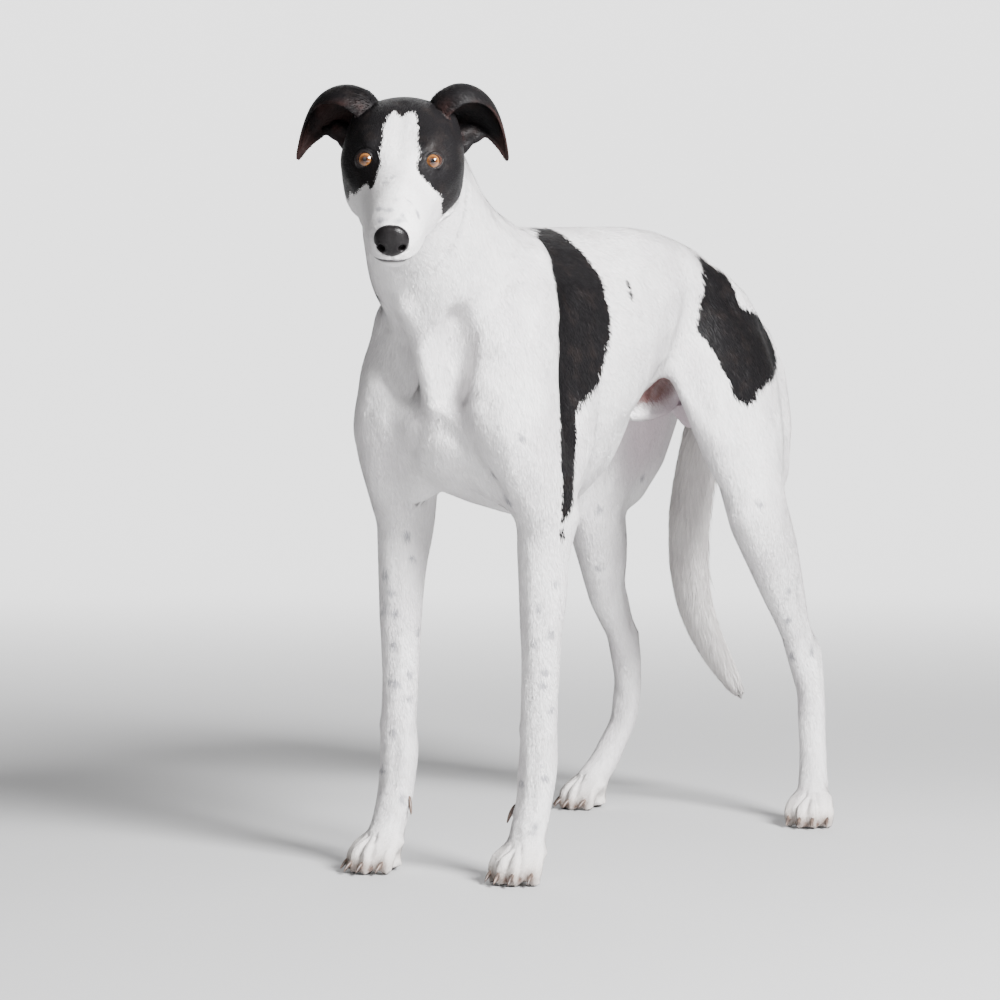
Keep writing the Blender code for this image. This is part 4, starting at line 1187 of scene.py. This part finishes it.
class Graph:
    """One material and its nodes."""

    def __init__(self, name, **surface):
        self.material = bpy.data.materials.new(name)
        self.material.use_nodes = True
        self.tree = self.material.node_tree
        self.surface = self.tree.nodes["Principled BSDF"]
        self.set(**surface)

    def set(self, **surface):
        """Sets or links the surface's sockets, written as Base_Color and so on."""
        for key, value in surface.items():
            self.feed(self.surface.inputs[key.replace("_", " ")], value)

    def feed(self, socket, value):
        if isinstance(value, Value):
            self.tree.links.new(value.socket, socket)
        elif socket.type == "RGBA":
            socket.default_value = (*value, 1.0)
        else:
            socket.default_value = value

    def node(self, kind, inputs=None, output=0, **settings):
        made = self.tree.nodes.new("ShaderNode" + kind)
        for key, value in settings.items():
            setattr(made, key, value)
        for key, value in (inputs or {}).items():
            self.feed(made.inputs[key], value)
        return Value(self, made.outputs[output])

    def mark(self, name, output="Fac"):
        return self.node("Attribute", attribute_name=name, output=output)

    def noise(self, scale, stretch=(1, 1, 1), detail=3.0):
        """Noise of about 1 / scale metres on the dog's own axes, from 0 to 1."""
        place = self.node("TexCoord", output="Object")
        place = self.node("Mapping", {"Vector": place, "Scale": stretch})
        return self.node("TexNoise", {"Vector": place, "Scale": scale, "Detail": detail})

    def mix(self, factor, start, end, blend="MIX"):
        return self.node("Mix", {0: factor, 6: start, 7: end}, output=2, data_type="RGBA",
                         blend_type=blend)

    def bump(self, height, distance, strength=1.0):
        return self.node("Bump", {"Height": height, "Distance": distance, "Strength": strength})

# %% [markdown]
# ## Colours of skin and hair
#
# The skin and the tufts share one recipe, so that no edge shows between them. The skin's own copy
# also gets dark leather on lips, lids and soles, and a fine bump along the hair.

# %% Skin and coat colours
WHITE, WHITE_SHADE = (0.80, 0.785, 0.785), (0.66, 0.635, 0.645)
CREAM, BLACK, BLACK_BROWN = (0.60, 0.52, 0.42), (0.0060, 0.0054, 0.0060), (0.016, 0.012, 0.011)
FRECKLE, STAIN = (0.225, 0.225, 0.255), (0.115, 0.062, 0.045)
# The second colour here is the groin's bare red-brown skin, made darker as painted shade for the
# hollow under the flank's fold.
PINK, GROIN_SKIN_AND_SHADE = (0.56, 0.455, 0.50), (0.17, 0.062, 0.055)
EAR_RED = (0.026, 0.013, 0.012)


def dressed(name, fine):
    """Hair colour from the marks. fine is how far noise may move the edge of a black patch."""
    g = Graph(name)
    broad = g.noise(14.0)
    strand = g.noise(420.0, (1.0, 1.0, 0.28))
    white = g.mix(broad.step(0.35, 0.75), WHITE, WHITE_SHADE)
    white = g.mix(strand.step(0.35, 0.8) * 0.35, white, WHITE_SHADE)
    white = g.mix(g.mark("cream"), white, CREAM)
    white = g.mix(g.mark("pink") * 0.75, white, PINK)
    # painted shade: the groin's bare red-brown skin, darkened as in the hollow under the flank's fold
    white = g.mix(g.mark("flush") * (g.noise(55.0) * 0.5 + 0.6), white, GROIN_SKIN_AND_SHADE)
    white = g.mix(g.mark("grey"), white, FRECKLE)
    white = g.mix(g.mark("stain"), white, STAIN)
    dark = g.mix(g.noise(60.0).step(0.45, 0.8) * 0.6, BLACK, BLACK_BROWN)
    dark = g.mix(g.mark("inner_ear") * g.noise(38.0).step(0.35, 0.62), dark, EAR_RED)
    edge = g.mark("black") + (g.noise(230.0) - 0.5) * fine
    is_black = edge.step(-0.0006, 0.0006)
    colour = g.mix(is_black, white, dark)
    light = g.mark("shade") + 1.0
    grey = g.node("CombineColor", {0: light, 1: light, 2: light})
    colour = g.mix(1.0, colour, grey, "MULTIPLY")
    g.set(Base_Color=colour, Roughness=is_black * -0.16 + 0.70, Specular_IOR_Level=0.14)
    return g, colour, is_black, strand


g, colour, is_black, strand = dressed("skin_and_hair", 0.010)
dark_leather = g.mark("dark")
g.set(Base_Color=g.mix(dark_leather, colour, (0.012, 0.010, 0.010)))
g.set(Roughness=(is_black * -0.16 + 0.72) - dark_leather * 0.14)
height = strand + g.noise(900.0, (1.0, 1.0, 0.35)) * 0.5
g.set(Normal=g.bump(height, 0.0006, 0.55))
SKIN_MATERIAL = g.material

g, colour, is_black, strand = dressed("coat_tufts", 0.0)
COAT_MATERIAL = g.material
print("skin and coat materials made")

# %% [markdown]
# ## Eyes, nose and claws
#
# The iris is drawn in rings round the middle of the gaze attribute, with fibres that run outwards.
# The nose leather is dark, moist and pebbled, and the claws are streaked brown horn.

# %% Eye, nose and claw materials
g = Graph("eye_amber", Roughness=0.12, Coat_Weight=1.0, Coat_Roughness=0.02, IOR=1.38)
gaze = g.mark("gaze", "Vector")
flat = g.node("VectorMath", {0: gaze, 1: (1.0, 1.0, 0.0)}, operation="MULTIPLY")
radius = g.node("VectorMath", {0: flat}, output="Value", operation="LENGTH")
around = g.node("VectorMath", {0: flat}, operation="NORMALIZE")
fibres = g.node("TexNoise", {"Vector": around, "Scale": 9.0, "Detail": 6.0, "Roughness": 0.7})
IRIS, PUPIL = 0.0072, 0.0023
amber = g.mix(fibres.step(0.35, 0.7), (0.25, 0.108, 0.034), (0.14, 0.052, 0.014))
amber = g.mix(radius.step(0.0058, 0.0030), amber, (0.055, 0.018, 0.006))
amber = g.mix(radius.step(IRIS * 0.80, IRIS * 0.97), amber, (0.010, 0.005, 0.004))
ball = g.mix(radius.step(IRIS, IRIS + 0.0007), amber, (0.050, 0.024, 0.018))
ball = g.mix(radius.step(PUPIL + 0.0003, PUPIL - 0.0003), ball, (0.002, 0.002, 0.003))
g.set(Base_Color=ball)
EYE_MATERIAL = g.material

g = Graph("nose_leather", Specular_IOR_Level=0.22)
place = g.node("TexCoord", output="Object")
pebbles = g.node("TexVoronoi", {"Vector": place, "Scale": 780.0}, feature="SMOOTH_F1")
grain = g.noise(300.0)
g.set(Base_Color=g.mix(grain, (0.0045, 0.0040, 0.0045), (0.011, 0.0095, 0.010)))
g.set(Roughness=g.noise(90.0) * 0.18 + 0.26, Normal=g.bump(pebbles * -1.0, 0.0004, 0.55))
NOSE_MATERIAL = g.material

g = Graph("claw_horn", Specular_IOR_Level=0.5)
streaks = g.noise(240.0, (1.0, 1.0, 0.25))
g.set(Base_Color=g.mix(streaks.step(0.35, 0.7), (0.055, 0.038, 0.032), (0.16, 0.11, 0.085)))
g.set(Roughness=streaks * 0.15 + 0.30, Normal=g.bump(streaks, 0.0003, 0.4))
CLAW_MATERIAL = g.material
print("eye, nose and claw materials made")

# %% [markdown]
# ## Dressing the solids
#
# Every piece rides on the dog's one body and takes its material; the solids that it stands for are
# hidden.

# %% Dress
def dress(piece, material, nodes):
    piece.data.materials.clear()
    piece.data.materials.append(material)
    piece.data.polygons.foreach_set("use_smooth", np.ones(len(piece.data.polygons), bool))
    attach(piece, "root")
    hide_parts(*nodes)


skin.name = "skin"
dress(skin, SKIN_MATERIAL, FLESH)
dress(nose, NOSE_MATERIAL, ["nose"])
dress(claws, CLAW_MATERIAL, CLAW_NODES)
for eye in eyes:
    dress(eye, EYE_MATERIAL, ["eye_" + eye.name.split("_")[1]])
for name, coat in coats.items():
    owners = [n for n in FLESH if n.startswith(COAT_PIECES[name][1])]
    dress(coat, COAT_MATERIAL, owners)
pieces = [skin, nose, claws] + eyes + list(coats.values())
total = sum(len(p.data.polygons) for p in pieces)
print(len(pieces), "pieces,", total, "faces in all")

# %% [markdown]
# ## Light and floor
#
# A pale floor and soft studio light: one strong soft key from the dog's left and above, a weak
# fill in front, another behind and a faint surround. The floor is a plain light grey, which keeps
# it from lighting the belly too much, and it glows a little towards the wall behind the dog, so
# that the dog stands before a pale ground.

# %% Studio
def soft_light(name, place, aim, size, power):
    lamp = bpy.data.lights.new(name, "AREA")
    lamp.size, lamp.energy = size, power
    obj = bpy.data.objects.new(name, lamp)
    bpy.context.scene.collection.objects.link(obj)
    obj.location = place
    obj.rotation_euler = (Vector(aim) - Vector(place)).to_track_quat("-Z", "Y").to_euler()


soft_light("key", (3.0, -1.1, 2.3), (0.0, 0.0, 0.45), 1.2, 640.0)
soft_light("front", (0.6, -3.2, 1.9), (0.0, 0.0, 0.45), 2.4, 26.0)
soft_light("back", (-1.6, 2.0, 2.6), (0.0, 0.1, 0.50), 1.8, 18.0)

world = bpy.data.worlds.new("surround")
world.use_nodes = True
world.node_tree.nodes["Background"].inputs["Color"].default_value = (1.0, 1.0, 1.0, 1.0)
world.node_tree.nodes["Background"].inputs["Strength"].default_value = 0.12
bpy.context.scene.world = world

# a round floor, which curves up into a pale wall far behind the dog and runs on elsewhere
FLOOR_RADIUS, FLOOR_BEND, BEND_STEPS, WALL_HIGH, FLOOR_EDGE = 4.4, 1.6, 12, 5.0, 30.0
FLOOR_SIDES, WALL_SIDES = 72, 12
behind_turn = CAMERA_TURN + math.radians(90.0)
turns = [behind_turn + math.tau * side / FLOOR_SIDES for side in range(FLOOR_SIDES)]
wall_turns = range(-WALL_SIDES // 2, WALL_SIDES // 2 + 1)
bm = bmesh.new()


def floor_point(turn, reach, high=0.0):
    return bm.verts.new((reach * math.cos(turn), reach * math.sin(turn), high))


profile = []
for step in range(1, BEND_STEPS + 1):
    angle = math.radians(90.0 * step / BEND_STEPS)
    profile.append((FLOOR_RADIUS + FLOOR_BEND * math.sin(angle), FLOOR_BEND * (1 - math.cos(angle))))
profile.append((FLOOR_RADIUS + FLOOR_BEND, WALL_HIGH))
inner = [floor_point(turn, FLOOR_RADIUS) for turn in turns]
bm.faces.new(inner)
near_row = [inner[k] for k in wall_turns]
for reach, high in profile:
    far_row = [floor_point(turns[k], reach, high) for k in wall_turns]
    for k in range(WALL_SIDES):
        bm.faces.new((near_row[k], far_row[k], far_row[k + 1], near_row[k + 1]))
    near_row = far_row
outer = [floor_point(turn, FLOOR_EDGE) for turn in turns]
for k in range(WALL_SIDES // 2, FLOOR_SIDES - WALL_SIDES // 2):
    after = (k + 1) % FLOOR_SIDES
    bm.faces.new((inner[k], outer[k], outer[after], inner[after]))
floor = link("floor", bm)
floor.data.polygons.foreach_set("use_smooth", np.ones(len(floor.data.polygons), bool))
g = Graph("floor_white", Roughness=0.8, Emission_Strength=1.8)
place = g.node("TexCoord", output="Object")
behind = (-math.sin(CAMERA_TURN), math.cos(CAMERA_TURN), 0.0)
behind = g.node("VectorMath", {0: place, 1: behind}, output="Value", operation="DOT_PRODUCT")
g.set(Emission_Color=g.mix(behind.step(0.6, 5.2), (0.0, 0.0, 0.0), (1.0, 1.0, 1.0)))
g.set(Base_Color=g.mix(g.noise(3.0), (0.50, 0.50, 0.505), (0.48, 0.48, 0.485)))
floor.data.materials.append(g.material)
print("studio set")
